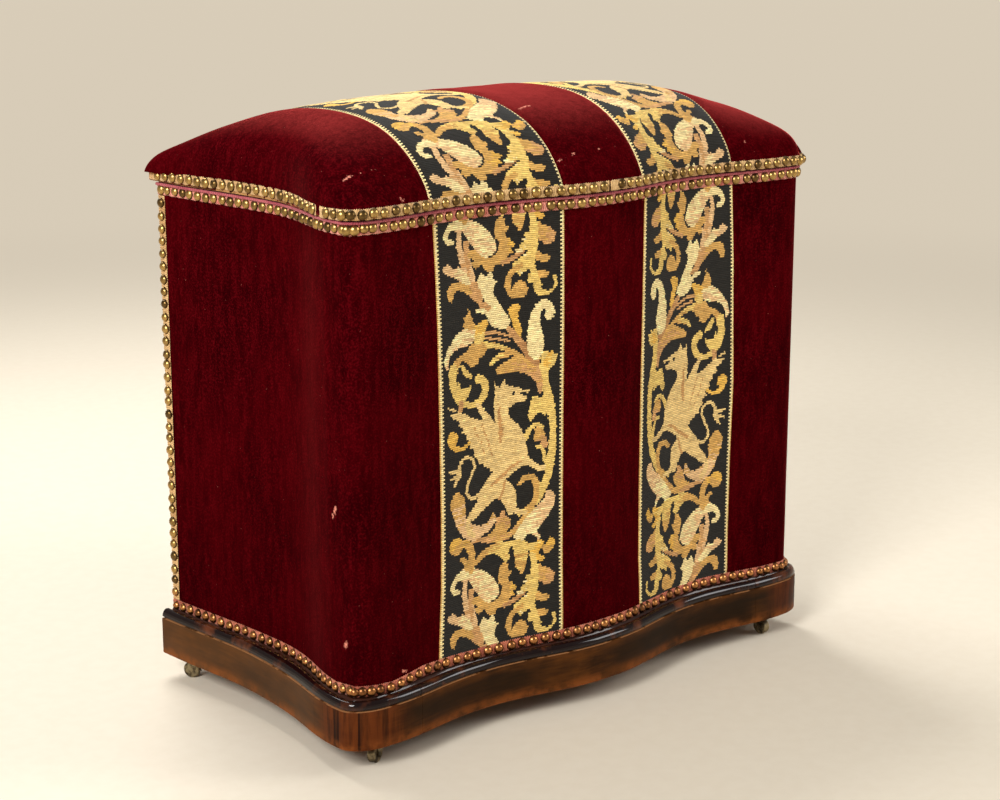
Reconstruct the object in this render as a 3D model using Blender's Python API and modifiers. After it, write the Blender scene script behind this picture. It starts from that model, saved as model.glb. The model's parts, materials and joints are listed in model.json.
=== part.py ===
# Storage ottoman: a serpentine box on a moulded plinth, with a stuffed domed lid.
# Metres, +Z up, front towards -Y, centred on the origin and standing on z = 0.

import math

import bmesh
import bpy
import numpy as np
from mathutils import Matrix, Vector

# Plan of the plinth: draws counted in from the widest point, depths back from the bow of the front
PLINTH_DEPTH = 0.3546
PLINTH_HALF_WIDTH = 0.310
TROUGH_DRAW = 0.1602
TROUGH_DEPTH = 0.0206
LOBE_DRAW = 0.0355
LOBE_FRONT_DEPTH = 0.0084
LOBE_SIDE_DEPTH = 0.0332
WAIST_DRAW = 0.0268
WAIST_DEPTH = 0.1787
BACK_CORNER_DRAW = 0.0189
ROUND_HANDLE = 0.552
SOFT_HANDLE = 0.42
STRAIGHT_HANDLE = 0.35
SPAN_STEPS = (10, 9, 9, 8, 7)
SHORTEST_STEP = 0.02
CRISP_ANGLE = math.radians(35)

# Heights above the floor
PLINTH_BOTTOM = 0.024
PLINTH_HEIGHT = 0.038
MOULDING_RISE = 0.0090
BODY_TOP = 0.5088
LID_SEAT = 0.0004
LID_BOARD_THICK = 0.0076
LID_RIM_RISE = 0.0106
LID_CROWN = 0.0744

# Clearances and thicknesses
GAP = 0.0003
BODY_INSET = 0.0162
COVER_THICK = 0.0014
GIMP_THICK = 0.0012
BACK_CLOTH_THICK = 0.0012
LINING_THICK = 0.0010
LINING_DROP = 0.0030
BASE_BOARD_THICK = 0.010

# Straight inner faces of the box and the plinth
WALL_LEAST = 0.0150
PLINTH_LEDGE = 0.008
POST_DRAW = 0.0800
POST_DEPTH = 0.0773
BACK_BOARD_THICK = 0.015
PLINTH_BACK_THICK = 0.030

# Ebonised moulding: insets from the plinth's face and rises above its top
BEAD_OUT = 0.0008
BEAD_IN = 0.0095
BEAD_RISE = 0.0072
BEAD_FOOT = 0.0020
BEAD_FULLNESS = 0.8
BEAD_ARC = (math.radians(7), math.radians(151))
BEAD_STEPS = 7
COVE_POINTS = ((0.0112, 0.0050), (0.0134, 0.0066))

# Needlework bands: the draw of each outer edge in from the widest point, and the widths
BAND_DRAW_LEFT = 0.1144
BAND_DRAW_RIGHT = 0.1098
BAND_WIDTH_LEFT = 0.1474
BAND_WIDTH_RIGHT = 0.1367

# Braids and cord
BODY_GIMP_DROP = 0.0044
BODY_GIMP_WIDTH = 0.0086
CORD_RADIUS = 0.0020
CORD_SIDES = 8
BASE_GIMP_WIDTH = 0.0108
CORNER_GIMP_WIDTH = 0.0105
LID_GIMP_WIDTH = 0.0100

# Lid: its edge stands out past the body, less at the front than at the sides
LID_FRONT_INSET = 0.0094
LID_SIDE_INSET = 0.0064
LID_GIMP_CLEAR = 0.0010
LID_BACK_REACH = 0.0060
LID_BACK_LIFT = 0.0033
LID_COVER_THICK = 0.0018
LID_BOARD_SETBACK = 0.0024
PAD_SETBACK = 0.0070
PAD_CLEAR = 0.0032
PAD_STEEPEST = 8.0
PAD_EDGE = 0.0006
SLOPE_STEP = 0.0005
LID_LINING_MARGIN = 0.0050
CROWN_FRONT_INSET = 0.0150
CROWN_RIDGE_DEPTH = 0.1735
CROWN_FRONT_POWER = (2.49, 0.75)
CROWN_BACK_POWER = (1.88, 0.52)
CROWN_END_POWER = (11.8, 0.43)
CROWN_END_SAG = 0.0117
CROWN_STEPS = (30, 20)

# Hinges: two brass butts on the back
HINGE_DRAW = 0.145
HINGE_LENGTH = 0.044
HINGE_KNUCKLE = 0.0030
HINGE_PIN = 0.0014
HINGE_PIN_INSET = 0.0010
HINGE_LEAF = 0.0014
HINGE_DROP = 0.0042
HINGE_REACH = 0.0040
BOX_LEAF_HEIGHT = 0.032
LID_LEAF_DEPTH = 0.030
HINGE_SPLIT = 0.31

# Castors: places by their draw in from the widest point and depth back from the bow
CASTOR_FRONT = (0.048, 0.0383)
CASTOR_BACK = (0.042, 0.3250)
CASTOR_TRAIL = 0.0070
WHEEL_RADIUS = 0.0085
WHEEL_WIDTH = 0.0080
WHEEL_EASE = 0.0010
PLATE_RADIUS = 0.0130
PLATE_THICK = 0.0020
HORN_THICK = 0.0019
HORN_SIDE = 0.0016
HORN_WIDTH = 0.0124
HORN_FRONT = 0.0052
HORN_BACK = 0.0030
HORN_EYE = 0.0028
SPINDLE_RADIUS = 0.0022
SPINDLE_HEAD = 0.0034
SPINDLE_HEAD_THICK = 0.0013
AXLE_RADIUS = 0.0013
CASTOR_HEADINGS = {"front_left": 205.0, "front_right": 272.0, "back_left": 122.0, "back_right": 40.0}

# The hinge knuckles reach furthest back, so they set the middle of the depth
HINGE_BACK = HINGE_REACH + HINGE_KNUCKLE
FRONT_Y = -(PLINTH_DEPTH + HINGE_BACK) / 2
BACK_Y = FRONT_Y + PLINTH_DEPTH
TROUGH_X = PLINTH_HALF_WIDTH - TROUGH_DRAW
LOBE_FRONT_X = PLINTH_HALF_WIDTH - LOBE_DRAW
WAIST_X = PLINTH_HALF_WIDTH - WAIST_DRAW
BACK_CORNER_X = PLINTH_HALF_WIDTH - BACK_CORNER_DRAW
POST_X = PLINTH_HALF_WIDTH - POST_DRAW
HINGE_X = PLINTH_HALF_WIDTH - HINGE_DRAW
BAND_LEFT = (BAND_DRAW_LEFT - PLINTH_HALF_WIDTH, BAND_DRAW_LEFT - PLINTH_HALF_WIDTH + BAND_WIDTH_LEFT)
BAND_RIGHT = (PLINTH_HALF_WIDTH - BAND_DRAW_RIGHT - BAND_WIDTH_RIGHT, PLINTH_HALF_WIDTH - BAND_DRAW_RIGHT)
PLINTH_TOP = PLINTH_BOTTOM + PLINTH_HEIGHT
MOULDING_TOP = PLINTH_TOP + GAP + MOULDING_RISE
BODY_BACK = BACK_Y - BACK_CLOTH_THICK - 2 * GAP
COVER_OUT = BODY_INSET - GAP - COVER_THICK
GIMP_OUT = COVER_OUT - GAP - GIMP_THICK
BOX_FRONT_Y = FRONT_Y + TROUGH_DEPTH + BODY_INSET + WALL_LEAST
BOX_SIDE_X = WAIST_X - BODY_INSET - WALL_LEAST
BOX_BACK_Y = BODY_BACK - BACK_BOARD_THICK
POST_Y = FRONT_Y + POST_DEPTH
BODY_GIMP_TOP = BODY_TOP - BODY_GIMP_DROP
BODY_GIMP_BOTTOM = BODY_GIMP_TOP - BODY_GIMP_WIDTH
LID_BOTTOM = BODY_TOP + LID_SEAT
LID_RIM = LID_BOTTOM + LID_RIM_RISE
LID_BACK_Y = BACK_Y + LID_BACK_REACH
HINGE_Y = BACK_Y + HINGE_REACH
HINGE_Z = LID_BOTTOM - HINGE_DROP
BASE_LOW = PLINTH_TOP + GAP
BASE_HIGH = BASE_LOW + BASE_BOARD_THICK
LINING_LOW = BASE_HIGH + GAP
LINING_TOP = BODY_TOP - LINING_DROP
MOULDING_IN = BODY_INSET - GAP
COVER_LOW = MOULDING_TOP + GAP
COVER_HIGH = BODY_TOP - GAP
LID_BOARD_TOP = LID_BOTTOM + LID_BOARD_THICK
CROWN_RIDGE_Y = FRONT_Y + CROWN_RIDGE_DEPTH


def clear_scene():
    for old in list(bpy.data.objects):
        bpy.data.objects.remove(old, do_unlink=True)
    for old in list(bpy.data.collections):
        bpy.data.collections.remove(old)


clear_scene()
parts = bpy.data.collections.new("storage_ottoman")
cutters = bpy.data.collections.new("cutters")
bpy.context.scene.collection.children.link(parts)
bpy.context.scene.collection.children.link(cutters)

FINISHES = {
    "rosewood": ((0.075, 0.030, 0.014), 0.35, 0.0),
    "ebonised": ((0.012, 0.009, 0.008), 0.18, 0.0),
    "pine": ((0.42, 0.27, 0.13), 0.70, 0.0),
    "velvet": ((0.095, 0.004, 0.012), 0.90, 0.0),
    "needlework": ((0.26, 0.19, 0.09), 0.90, 0.0),
    "tan_braid": ((0.36, 0.23, 0.12), 0.85, 0.0),
    "pink_braid": ((0.50, 0.16, 0.17), 0.85, 0.0),
    "cotton": ((0.10, 0.07, 0.05), 0.90, 0.0),
    "stuffing": ((0.55, 0.48, 0.36), 0.95, 0.0),
    "lining": ((0.56, 0.47, 0.34), 0.85, 0.0),
    "brass": ((0.50, 0.34, 0.13), 0.35, 1.0),
    "iron": ((0.05, 0.045, 0.04), 0.50, 1.0),
}


def finish(obj, name):
    colour, rough, metal = FINISHES[name]
    made = bpy.data.materials.new(obj.name + "_" + name)
    made.use_nodes = True
    shader = made.node_tree.nodes["Principled BSDF"]
    shader.inputs["Base Color"].default_value = (*colour, 1.0)
    shader.inputs["Roughness"].default_value = rough
    shader.inputs["Metallic"].default_value = metal
    made.diffuse_color = (*colour, 1.0)
    obj.data.materials.clear()
    obj.data.materials.append(made)


def node(name, mesh, finish_name, place=(0.0, 0.0, 0.0)):
    obj = bpy.data.objects.new(name, mesh)
    obj.location = place
    parts.objects.link(obj)
    finish(obj, finish_name)
    return obj


def cutter(mesh):
    obj = bpy.data.objects.new("cutter", mesh)
    obj.hide_render = True
    obj.display_type = "WIRE"
    cutters.objects.link(obj)
    return obj


def tidy(bm, name):
    bmesh.ops.remove_doubles(bm, verts=bm.verts, dist=1e-6)
    bmesh.ops.recalc_face_normals(bm, faces=bm.faces)
    mesh = bpy.data.meshes.new(name)
    bm.to_mesh(mesh)
    bm.free()
    return mesh


def settled(obj):
    bpy.context.view_layer.update()
    ready = obj.evaluated_get(bpy.context.evaluated_depsgraph_get())
    mesh = bpy.data.meshes.new_from_object(ready)
    obj.modifiers.clear()
    obj.data = mesh
    return obj


def boolean(obj, mesh, operation):
    tool = cutter(mesh)
    step = obj.modifiers.new(operation.lower(), "BOOLEAN")
    step.object = tool
    step.operation = operation
    step.solver = "EXACT"
    settled(obj)
    bpy.data.objects.remove(tool, do_unlink=True)
    return obj


def slab(outline, low, high, name="slab"):
    curve = bpy.data.curves.new(name, "CURVE")
    curve.dimensions = "2D"
    curve.fill_mode = "BOTH"
    curve.extrude = (high - low) / 2
    line = curve.splines.new("POLY")
    line.points.add(len(outline) - 1)
    for point, (x, y) in zip(line.points, outline):
        point.co = (x, y, 0.0, 1.0)
    line.use_cyclic_u = True
    obj = cutter(curve)
    bpy.context.view_layer.update()
    ready = obj.evaluated_get(bpy.context.evaluated_depsgraph_get())
    mesh = bpy.data.meshes.new_from_object(ready)
    bpy.data.objects.remove(obj, do_unlink=True)
    bm = bmesh.new()
    bm.from_mesh(mesh)
    bmesh.ops.translate(bm, verts=bm.verts, vec=(0.0, 0.0, (low + high) / 2))
    return tidy(bm, name)


def block(low, high, name="block"):
    (x0, y0, z0), (x1, y1, z1) = low, high
    bm = bmesh.new()
    bmesh.ops.create_cube(bm, size=1.0)
    bmesh.ops.scale(bm, verts=bm.verts, vec=(x1 - x0, y1 - y0, z1 - z0))
    bmesh.ops.translate(bm, verts=bm.verts, vec=((x0 + x1) / 2, (y0 + y1) / 2, (z0 + z1) / 2))
    return tidy(bm, name)


def rod(start, end, radius, sides=20, name="rod"):
    start, end = Vector(start), Vector(end)
    bm = bmesh.new()
    bmesh.ops.create_cone(
        bm, segments=sides, cap_ends=True, radius1=radius, radius2=radius, depth=(end - start).length)
    turn = Vector((0.0, 0.0, 1.0)).rotation_difference(end - start).to_matrix().to_4x4()
    bmesh.ops.transform(bm, verts=bm.verts, matrix=Matrix.Translation((start + end) / 2) @ turn)
    return tidy(bm, name)


def turned(profile, axis="Z", steps=28, name="turned"):
    bm = bmesh.new()
    ring = [bm.verts.new((radius, 0.0, height)) for radius, height in profile]
    for first, second in zip(ring, ring[1:] + ring[:1]):
        if first.co.x > 0.0 or second.co.x > 0.0:
            bm.edges.new((first, second))
    mesh = bpy.data.meshes.new(name)
    bm.to_mesh(mesh)
    bm.free()
    obj = cutter(mesh)
    screw = obj.modifiers.new("turn", "SCREW")
    screw.axis = "Z"
    screw.angle = math.tau
    screw.steps = steps
    screw.render_steps = steps
    screw.use_merge_vertices = True
    screw.merge_threshold = 0.00001
    settled(obj)
    bm = bmesh.new()
    bm.from_mesh(obj.data)
    bpy.data.objects.remove(obj, do_unlink=True)
    if axis == "X":
        bmesh.ops.rotate(bm, verts=bm.verts, matrix=Matrix.Rotation(math.pi / 2, 3, "Y"))
    return tidy(bm, name)


# The plan: one half from the middle of the front to the back corner, then its mirror image

def bezier(start, lead, trail, end, steps):
    t = np.linspace(0.0, 1.0, steps + 1)[:, None]
    near, far = np.array(start) + lead, np.array(end) - trail
    return ((1 - t) ** 3 * np.array(start) + 3 * (1 - t) ** 2 * t * near
            + 3 * (1 - t) * t ** 2 * far + t ** 3 * np.array(end))


def half_plan():
    bow = (0.0, FRONT_Y)
    trough = (TROUGH_X, FRONT_Y + TROUGH_DEPTH)
    lobe = (LOBE_FRONT_X, FRONT_Y + LOBE_FRONT_DEPTH)
    side = (PLINTH_HALF_WIDTH, FRONT_Y + LOBE_SIDE_DEPTH)
    waist = (WAIST_X, FRONT_Y + WAIST_DEPTH)
    corner = (BACK_CORNER_X, BACK_Y)
    across, back = np.array((1.0, 0.0)), np.array((0.0, 1.0))

    def even(start, end, axis, share, steps):
        reach = share * abs(np.dot(np.array(end) - np.array(start), axis)) * axis
        return bezier(start, reach, reach, end, steps)

    round_x = ROUND_HANDLE * (side[0] - lobe[0]) * across
    round_y = ROUND_HANDLE * (side[1] - lobe[1]) * back
    spans = [
        even(bow, trough, across, SOFT_HANDLE, SPAN_STEPS[0]),
        even(trough, lobe, across, SOFT_HANDLE, SPAN_STEPS[1]),
        bezier(lobe, round_x, round_y, side, SPAN_STEPS[2]),
        even(side, waist, back, SOFT_HANDLE, SPAN_STEPS[3]),
        even(waist, corner, back, STRAIGHT_HANDLE, SPAN_STEPS[4]),
    ]
    return np.vstack([spans[0][:1]] + [span[1:] for span in spans])


HALF = half_plan()
SLOPES = np.gradient(HALF, axis=0)
SLOPES[0] = (1.0, 0.0)
SLOPES[-1] = (0.0, 1.0)
SLOPES /= np.linalg.norm(SLOPES, axis=1)[:, None]
OUTWARD = np.stack([SLOPES[:, 1], -SLOPES[:, 0]], axis=1)
NOSE = SPAN_STEPS[0] + SPAN_STEPS[1] + SPAN_STEPS[2]
MIDDLE = len(HALF) - 1


def plan_line(front_inset, side_inset=None, back=BACK_Y):
    side_inset = front_inset if side_inset is None else side_inset
    share = OUTWARD[:, :1] ** 2
    line = HALF - OUTWARD * (front_inset * (1 - share) + side_inset * share)
    line[-1, 1] = back
    return np.vstack([(line * (-1.0, 1.0))[:0:-1], line])


def place_at_x(line, x):
    front = line[MIDDLE - NOSE:MIDDLE + NOSE + 1]
    return MIDDLE - NOSE + np.interp(x, front[:, 0], np.arange(len(front)))


def place_at_y(line, y, right):
    side = line[MIDDLE + NOSE:] if right else line[MIDDLE - NOSE::-1]
    along = np.interp(y, side[:, 1], np.arange(len(side)))
    return MIDDLE + NOSE + along if right else MIDDLE - NOSE - along


def stretch(line, start, end):
    places = [start] + list(range(math.floor(start) + 1, math.ceil(end))) + [end]
    index = np.arange(len(line))
    kept = [place for k, place in enumerate(places) if k == 0 or place - places[k - 1] > SHORTEST_STEP]
    kept[-1] = end
    return np.stack([np.interp(kept, index, line[:, k]) for k in (0, 1)], axis=1)


def sweep(profile, cut, name="sweep"):
    ends = cut(plan_line(*profile[0][:3]))
    rings = []
    for front_inset, side_inset, back, height in profile:
        run = stretch(plan_line(front_inset, side_inset, back), *ends)
        rings.append([(x, y, height) for x, y in run])
    bm = bmesh.new()
    rings = [[bm.verts.new(point) for point in ring] for ring in rings]
    for first, second in zip(rings, rings[1:] + rings[:1]):
        for k in range(len(first) - 1):
            bm.faces.new((first[k], first[k + 1], second[k + 1], second[k]))
    bm.faces.new([ring[0] for ring in rings])
    bm.faces.new([ring[-1] for ring in rings])
    return tidy(bm, name)


def band_of(inner, outer, low, high, back=BODY_BACK):
    return [(inner, inner, back, low), (outer, outer, back, low),
            (outer, outer, back, high), (inner, inner, back, high)]


def whole(line):
    return 0, len(line) - 1


def between(left, right):
    def cut(line):
        start = 0 if left is None else place_at_x(line, left)
        end = len(line) - 1 if right is None else place_at_x(line, right)
        return start, end
    return cut


def mirrored(points):
    return [(-x, y) for x, y in reversed(points)]


# Plinth and box share one layout: a front, two lobed corners, two sides and a back

def layout(inset, back, low, high, inner, back_thick, names, finish_name):
    inner_x, inner_y = inner
    line = plan_line(inset, back=back)
    front = stretch(line, place_at_x(line, -POST_X + GAP), place_at_x(line, POST_X - GAP))
    front = [tuple(point) for point in front] + [(POST_X - GAP, inner_y), (-POST_X + GAP, inner_y)]
    corner = stretch(line, place_at_x(line, POST_X), place_at_y(line, POST_Y, True))
    corner = [tuple(point) for point in corner] + [(POST_X, POST_Y)]
    side = stretch(line, place_at_y(line, POST_Y + GAP, True), len(line) - 1)
    side = [tuple(point) for point in side] + [(inner_x, back), (inner_x, POST_Y + GAP)]
    rear_x = inner_x - GAP
    rear = [(-rear_x, back - back_thick), (rear_x, back - back_thick), (rear_x, back), (-rear_x, back)]
    shapes = (front, mirrored(corner), corner, mirrored(side), side, rear)
    return [node(name, slab(shape, low, high), finish_name) for name, shape in zip(names, shapes)]


layout(
    0.0, BACK_Y, PLINTH_BOTTOM, PLINTH_TOP,
    (BOX_SIDE_X - PLINTH_LEDGE, BOX_FRONT_Y + PLINTH_LEDGE), PLINTH_BACK_THICK,
    ("plinth_front", "plinth_corner_left", "plinth_corner_right",
     "plinth_left", "plinth_right", "plinth_back"), "rosewood")

layout(
    BODY_INSET, BODY_BACK, PLINTH_TOP + GAP, BODY_TOP,
    (BOX_SIDE_X, BOX_FRONT_Y), BACK_BOARD_THICK,
    ("box_front", "box_post_left", "box_post_right",
     "box_left", "box_right", "box_back"), "pine")


def box_outline(margin):
    side, post_x = BOX_SIDE_X - margin, POST_X - margin
    front, post_y, back = BOX_FRONT_Y + margin, POST_Y + margin, BOX_BACK_Y - margin
    right = [(post_x, front), (post_x, post_y), (side, post_y), (side, back)]
    return mirrored(right) + right


node("base_board", slab(box_outline(GAP), BASE_LOW, BASE_HIGH), "pine")


def tray(outer, inner, low, floor, high):
    bm = bmesh.new()
    rings = [[bm.verts.new((x, y, z)) for x, y in outline]
             for outline, z in ((outer, low), (outer, high), (inner, high), (inner, floor))]
    for first, second in zip(rings, rings[1:]):
        for k in range(len(first)):
            after = (k + 1) % len(first)
            bm.faces.new((first[k], first[after], second[after], second[k]))
    bm.faces.new(rings[0])
    bm.faces.new(rings[-1])
    return tidy(bm, "tray")


node("box_lining", tray(box_outline(GAP), box_outline(GAP + LINING_THICK),
                        LINING_LOW, LINING_LOW + LINING_THICK, LINING_TOP), "lining")


# The ebonised moulding: a round bead over the fascia, then a cove up to the box

def moulding_profile():
    low = PLINTH_TOP + GAP
    middle, reach = (BEAD_OUT + BEAD_IN) / 2, (BEAD_IN - BEAD_OUT) / 2
    points = [(MOULDING_IN, low), (BEAD_FOOT, low)]
    first, last = BEAD_ARC
    for step in range(BEAD_STEPS + 1):
        angle = first + (last - first) * step / BEAD_STEPS
        rise = BEAD_RISE * math.sin(angle) ** BEAD_FULLNESS
        points.append((middle - reach * math.cos(angle), low + rise))
    points += [(inset, low + rise) for inset, rise in COVE_POINTS] + [(MOULDING_IN, MOULDING_TOP)]
    return [(inset, inset, BACK_Y, height) for inset, height in points]


for name, ends in (("moulding_left", (None, -POST_X - GAP / 2)),
                   ("moulding_front", (-POST_X + GAP / 2, POST_X - GAP / 2)),
                   ("moulding_right", (POST_X + GAP / 2, None))):
    node(name, sweep(moulding_profile(), between(*ends)), "ebonised")

# Covers of the box, butted edge to edge
STRIPS = [
    ("velvet_left", None, BAND_LEFT[0], "velvet"),
    ("band_left", BAND_LEFT[0], BAND_LEFT[1], "needlework"),
    ("velvet_middle", BAND_LEFT[1], BAND_RIGHT[0], "velvet"),
    ("band_right", BAND_RIGHT[0], BAND_RIGHT[1], "needlework"),
    ("velvet_right", BAND_RIGHT[1], None, "velvet"),
]
cover = band_of(BODY_INSET - GAP, COVER_OUT, COVER_LOW, COVER_HIGH)
for name, left, right, finish_name in STRIPS:
    left = None if left is None else left + GAP / 2
    right = None if right is None else right - GAP / 2
    node("box_" + name, sweep(cover, between(left, right)), finish_name)

back_x = BACK_CORNER_X - BODY_INSET - GAP
node("back_cloth", block((-back_x, BODY_BACK + GAP, COVER_LOW),
                         (back_x, BODY_BACK + GAP + BACK_CLOTH_THICK, COVER_HIGH)), "cotton")

# Braids and the cord on the box
base_gimp_top = COVER_LOW + BASE_GIMP_WIDTH
node("base_gimp", sweep(band_of(COVER_OUT - GAP, GIMP_OUT, COVER_LOW, base_gimp_top), whole), "pink_braid")
node("box_gimp", sweep(band_of(COVER_OUT - GAP, GIMP_OUT, BODY_GIMP_BOTTOM, BODY_GIMP_TOP), whole),
     "pink_braid")


def cord_profile():
    middle, height = COVER_OUT - GAP - CORD_RADIUS, BODY_GIMP_TOP + GAP + CORD_RADIUS
    turns = [math.tau * k / CORD_SIDES for k in range(CORD_SIDES)]
    return [(middle + CORD_RADIUS * math.cos(turn), None, BODY_BACK, height + CORD_RADIUS * math.sin(turn))
            for turn in turns]


node("box_cord", sweep(cord_profile(), whole), "pink_braid")


def corner_cut(right):
    def cut(line):
        start = place_at_y(line, BODY_BACK - CORNER_GIMP_WIDTH, right)
        return (start, len(line) - 1) if right else (0, start)
    return cut


corner = band_of(COVER_OUT - GAP, GIMP_OUT, base_gimp_top + GAP, BODY_GIMP_BOTTOM - GAP)
node("corner_gimp_left", sweep(corner, corner_cut(False)), "tan_braid")
node("corner_gimp_right", sweep(corner, corner_cut(True)), "tan_braid")

# Lid: the plan is filled by blending its four edges, and the crown is a height over the plan

def lid_outline(extra=0.0):
    return plan_line(LID_FRONT_INSET + extra, LID_SIDE_INSET + extra, LID_BACK_Y - extra)


crown_front = plan_line(CROWN_FRONT_INSET)[MIDDLE - NOSE:MIDDLE + NOSE + 1]
crown_side = lid_outline()[MIDDLE + NOSE:]


def crown(x, y):
    front = np.interp(x, crown_front[:, 0], crown_front[:, 1])
    run = np.where(y < CROWN_RIDGE_Y, CROWN_RIDGE_Y - front, LID_BACK_Y - CROWN_RIDGE_Y)
    along = np.clip(np.abs(y - CROWN_RIDGE_Y) / run, 0.0, 1.0)
    fore = (1 - along ** CROWN_FRONT_POWER[0]) ** CROWN_FRONT_POWER[1]
    aft = (1 - along ** CROWN_BACK_POWER[0]) ** CROWN_BACK_POWER[1]
    side = np.interp(y, crown_side[:, 1], crown_side[:, 0])
    across = np.clip(np.abs(x) / side, 0.0, 1.0)
    ends = (1 - across ** CROWN_END_POWER[0]) ** CROWN_END_POWER[1]
    rise = LID_CROWN - CROWN_END_SAG * across ** 2
    return LID_RIM + rise * np.where(y < CROWN_RIDGE_Y, fore, aft) * ends


def lid_plan(extra):
    line = lid_outline(extra)
    front = line[MIDDLE - NOSE:MIDDLE + NOSE + 1]
    side = line[MIDDLE + NOSE:]
    nose_half, corner_half, back = side[0, 0], side[-1, 0], side[-1, 1]
    u = np.sin(np.linspace(-0.5, 0.5, CROWN_STEPS[0] + 1) * math.pi)[:, None]
    v = np.sin(np.linspace(-0.5, 0.5, CROWN_STEPS[1] + 1) * math.pi)[None, :]
    r, s = (u + 1) / 2, (v + 1) / 2
    nose_y = side[0, 1]
    side_y = nose_y + (back - nose_y) * s
    side_x = np.interp(side_y, side[:, 1], side[:, 0])
    front_x, back_x = u * nose_half, u * corner_half
    front_y = np.interp(front_x, front[:, 0], front[:, 1])
    x = (1 - s) * front_x + s * back_x + u * side_x - u * ((1 - s) * nose_half + s * corner_half)
    y = (1 - s) * front_y + s * back + side_y - ((1 - s) * nose_y + s * back)
    return x, y


def grid(bm, x, y, z):
    rows = [[bm.verts.new((x[i, j], y[i, j], z[i, j])) for j in range(x.shape[1])] for i in range(x.shape[0])]
    for i in range(len(rows) - 1):
        for j in range(len(rows[0]) - 1):
            bm.faces.new((rows[i][j], rows[i + 1][j], rows[i + 1][j + 1], rows[i][j + 1]))
    rim = [rows[i][0] for i in range(len(rows))] + rows[-1][1:]
    rim += [rows[i][-1] for i in range(len(rows) - 2, -1, -1)] + rows[0][-2:0:-1]
    return rim


def skirt(bm, rim, height):
    low = [bm.verts.new((vert.co.x, vert.co.y, height(vert.co))) for vert in rim]
    for k in range(len(rim)):
        after = (k + 1) % len(rim)
        bm.faces.new((rim[after], rim[k], low[k], low[after]))
    return low


def lid_shell(left, right):
    x, y = lid_plan(0.0)
    bm = bmesh.new()
    rim = grid(bm, x, y, crown(x, y))
    skirt(bm, rim, lambda at: LID_BOTTOM + GAP + (LID_BACK_LIFT if at.y > LID_BACK_Y - 1e-5 else 0.0))
    for edge, side in ((left, -1.0), (right, 1.0)):
        if edge is not None:
            geometry = bm.verts[:] + bm.edges[:] + bm.faces[:]
            bmesh.ops.bisect_plane(bm, geom=geometry, plane_co=(edge, 0.0, 0.0), plane_no=(side, 0.0, 0.0),
                                   clear_outer=True, dist=1e-6)
    return tidy(bm, "lid_shell")


for name, left, right, finish_name in STRIPS:
    left = None if left is None else left + GAP / 2
    right = None if right is None else right - GAP / 2
    strip = node("lid_" + name, lid_shell(left, right), finish_name)
    thick = strip.modifiers.new("thickness", "SOLIDIFY")
    thick.thickness = LID_COVER_THICK
    thick.offset = -1.0
    settled(strip)

board_line = [tuple(point) for point in lid_outline(LID_BOARD_SETBACK)]
lid_board = node("lid_board", slab(board_line, LID_BOTTOM, LID_BOARD_TOP), "pine")


def pad_mesh():
    x, y = lid_plan(PAD_SETBACK)
    step = SLOPE_STEP
    slope_x = (crown(x + step, y) - crown(x - step, y)) / (2 * step)
    slope_y = (crown(x, y + step) - crown(x, y - step)) / (2 * step)
    low = LID_BOARD_TOP + GAP
    z = crown(x, y) - PAD_CLEAR * np.sqrt(1 + np.minimum(slope_x ** 2 + slope_y ** 2, PAD_STEEPEST ** 2))
    bm = bmesh.new()
    rim = grid(bm, x, y, np.maximum(z, low + PAD_EDGE))
    bm.faces.new(skirt(bm, rim, lambda at: low))
    return tidy(bm, "lid_pad")


node("lid_pad", pad_mesh(), "stuffing")
lid_gimp_front, lid_gimp_side = LID_FRONT_INSET - LID_GIMP_CLEAR, LID_SIDE_INSET - LID_GIMP_CLEAR
gimp_high = LID_BOTTOM + LID_GIMP_WIDTH
node("lid_gimp", sweep([
    (lid_gimp_front, lid_gimp_side, LID_BACK_Y, LID_BOTTOM),
    (lid_gimp_front - GIMP_THICK, lid_gimp_side - GIMP_THICK, LID_BACK_Y, LID_BOTTOM),
    (lid_gimp_front - GIMP_THICK, lid_gimp_side - GIMP_THICK, LID_BACK_Y, gimp_high),
    (lid_gimp_front, lid_gimp_side, LID_BACK_Y, gimp_high)], whole), "tan_braid")
lid_lining_top = LID_BOTTOM - GAP
node("lid_lining",
     slab(box_outline(LID_LINING_MARGIN), lid_lining_top - LINING_THICK, lid_lining_top), "lining")

# Butt hinges: the box leaf stands on the back and holds the pin, the lid leaf is let into the lid

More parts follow.
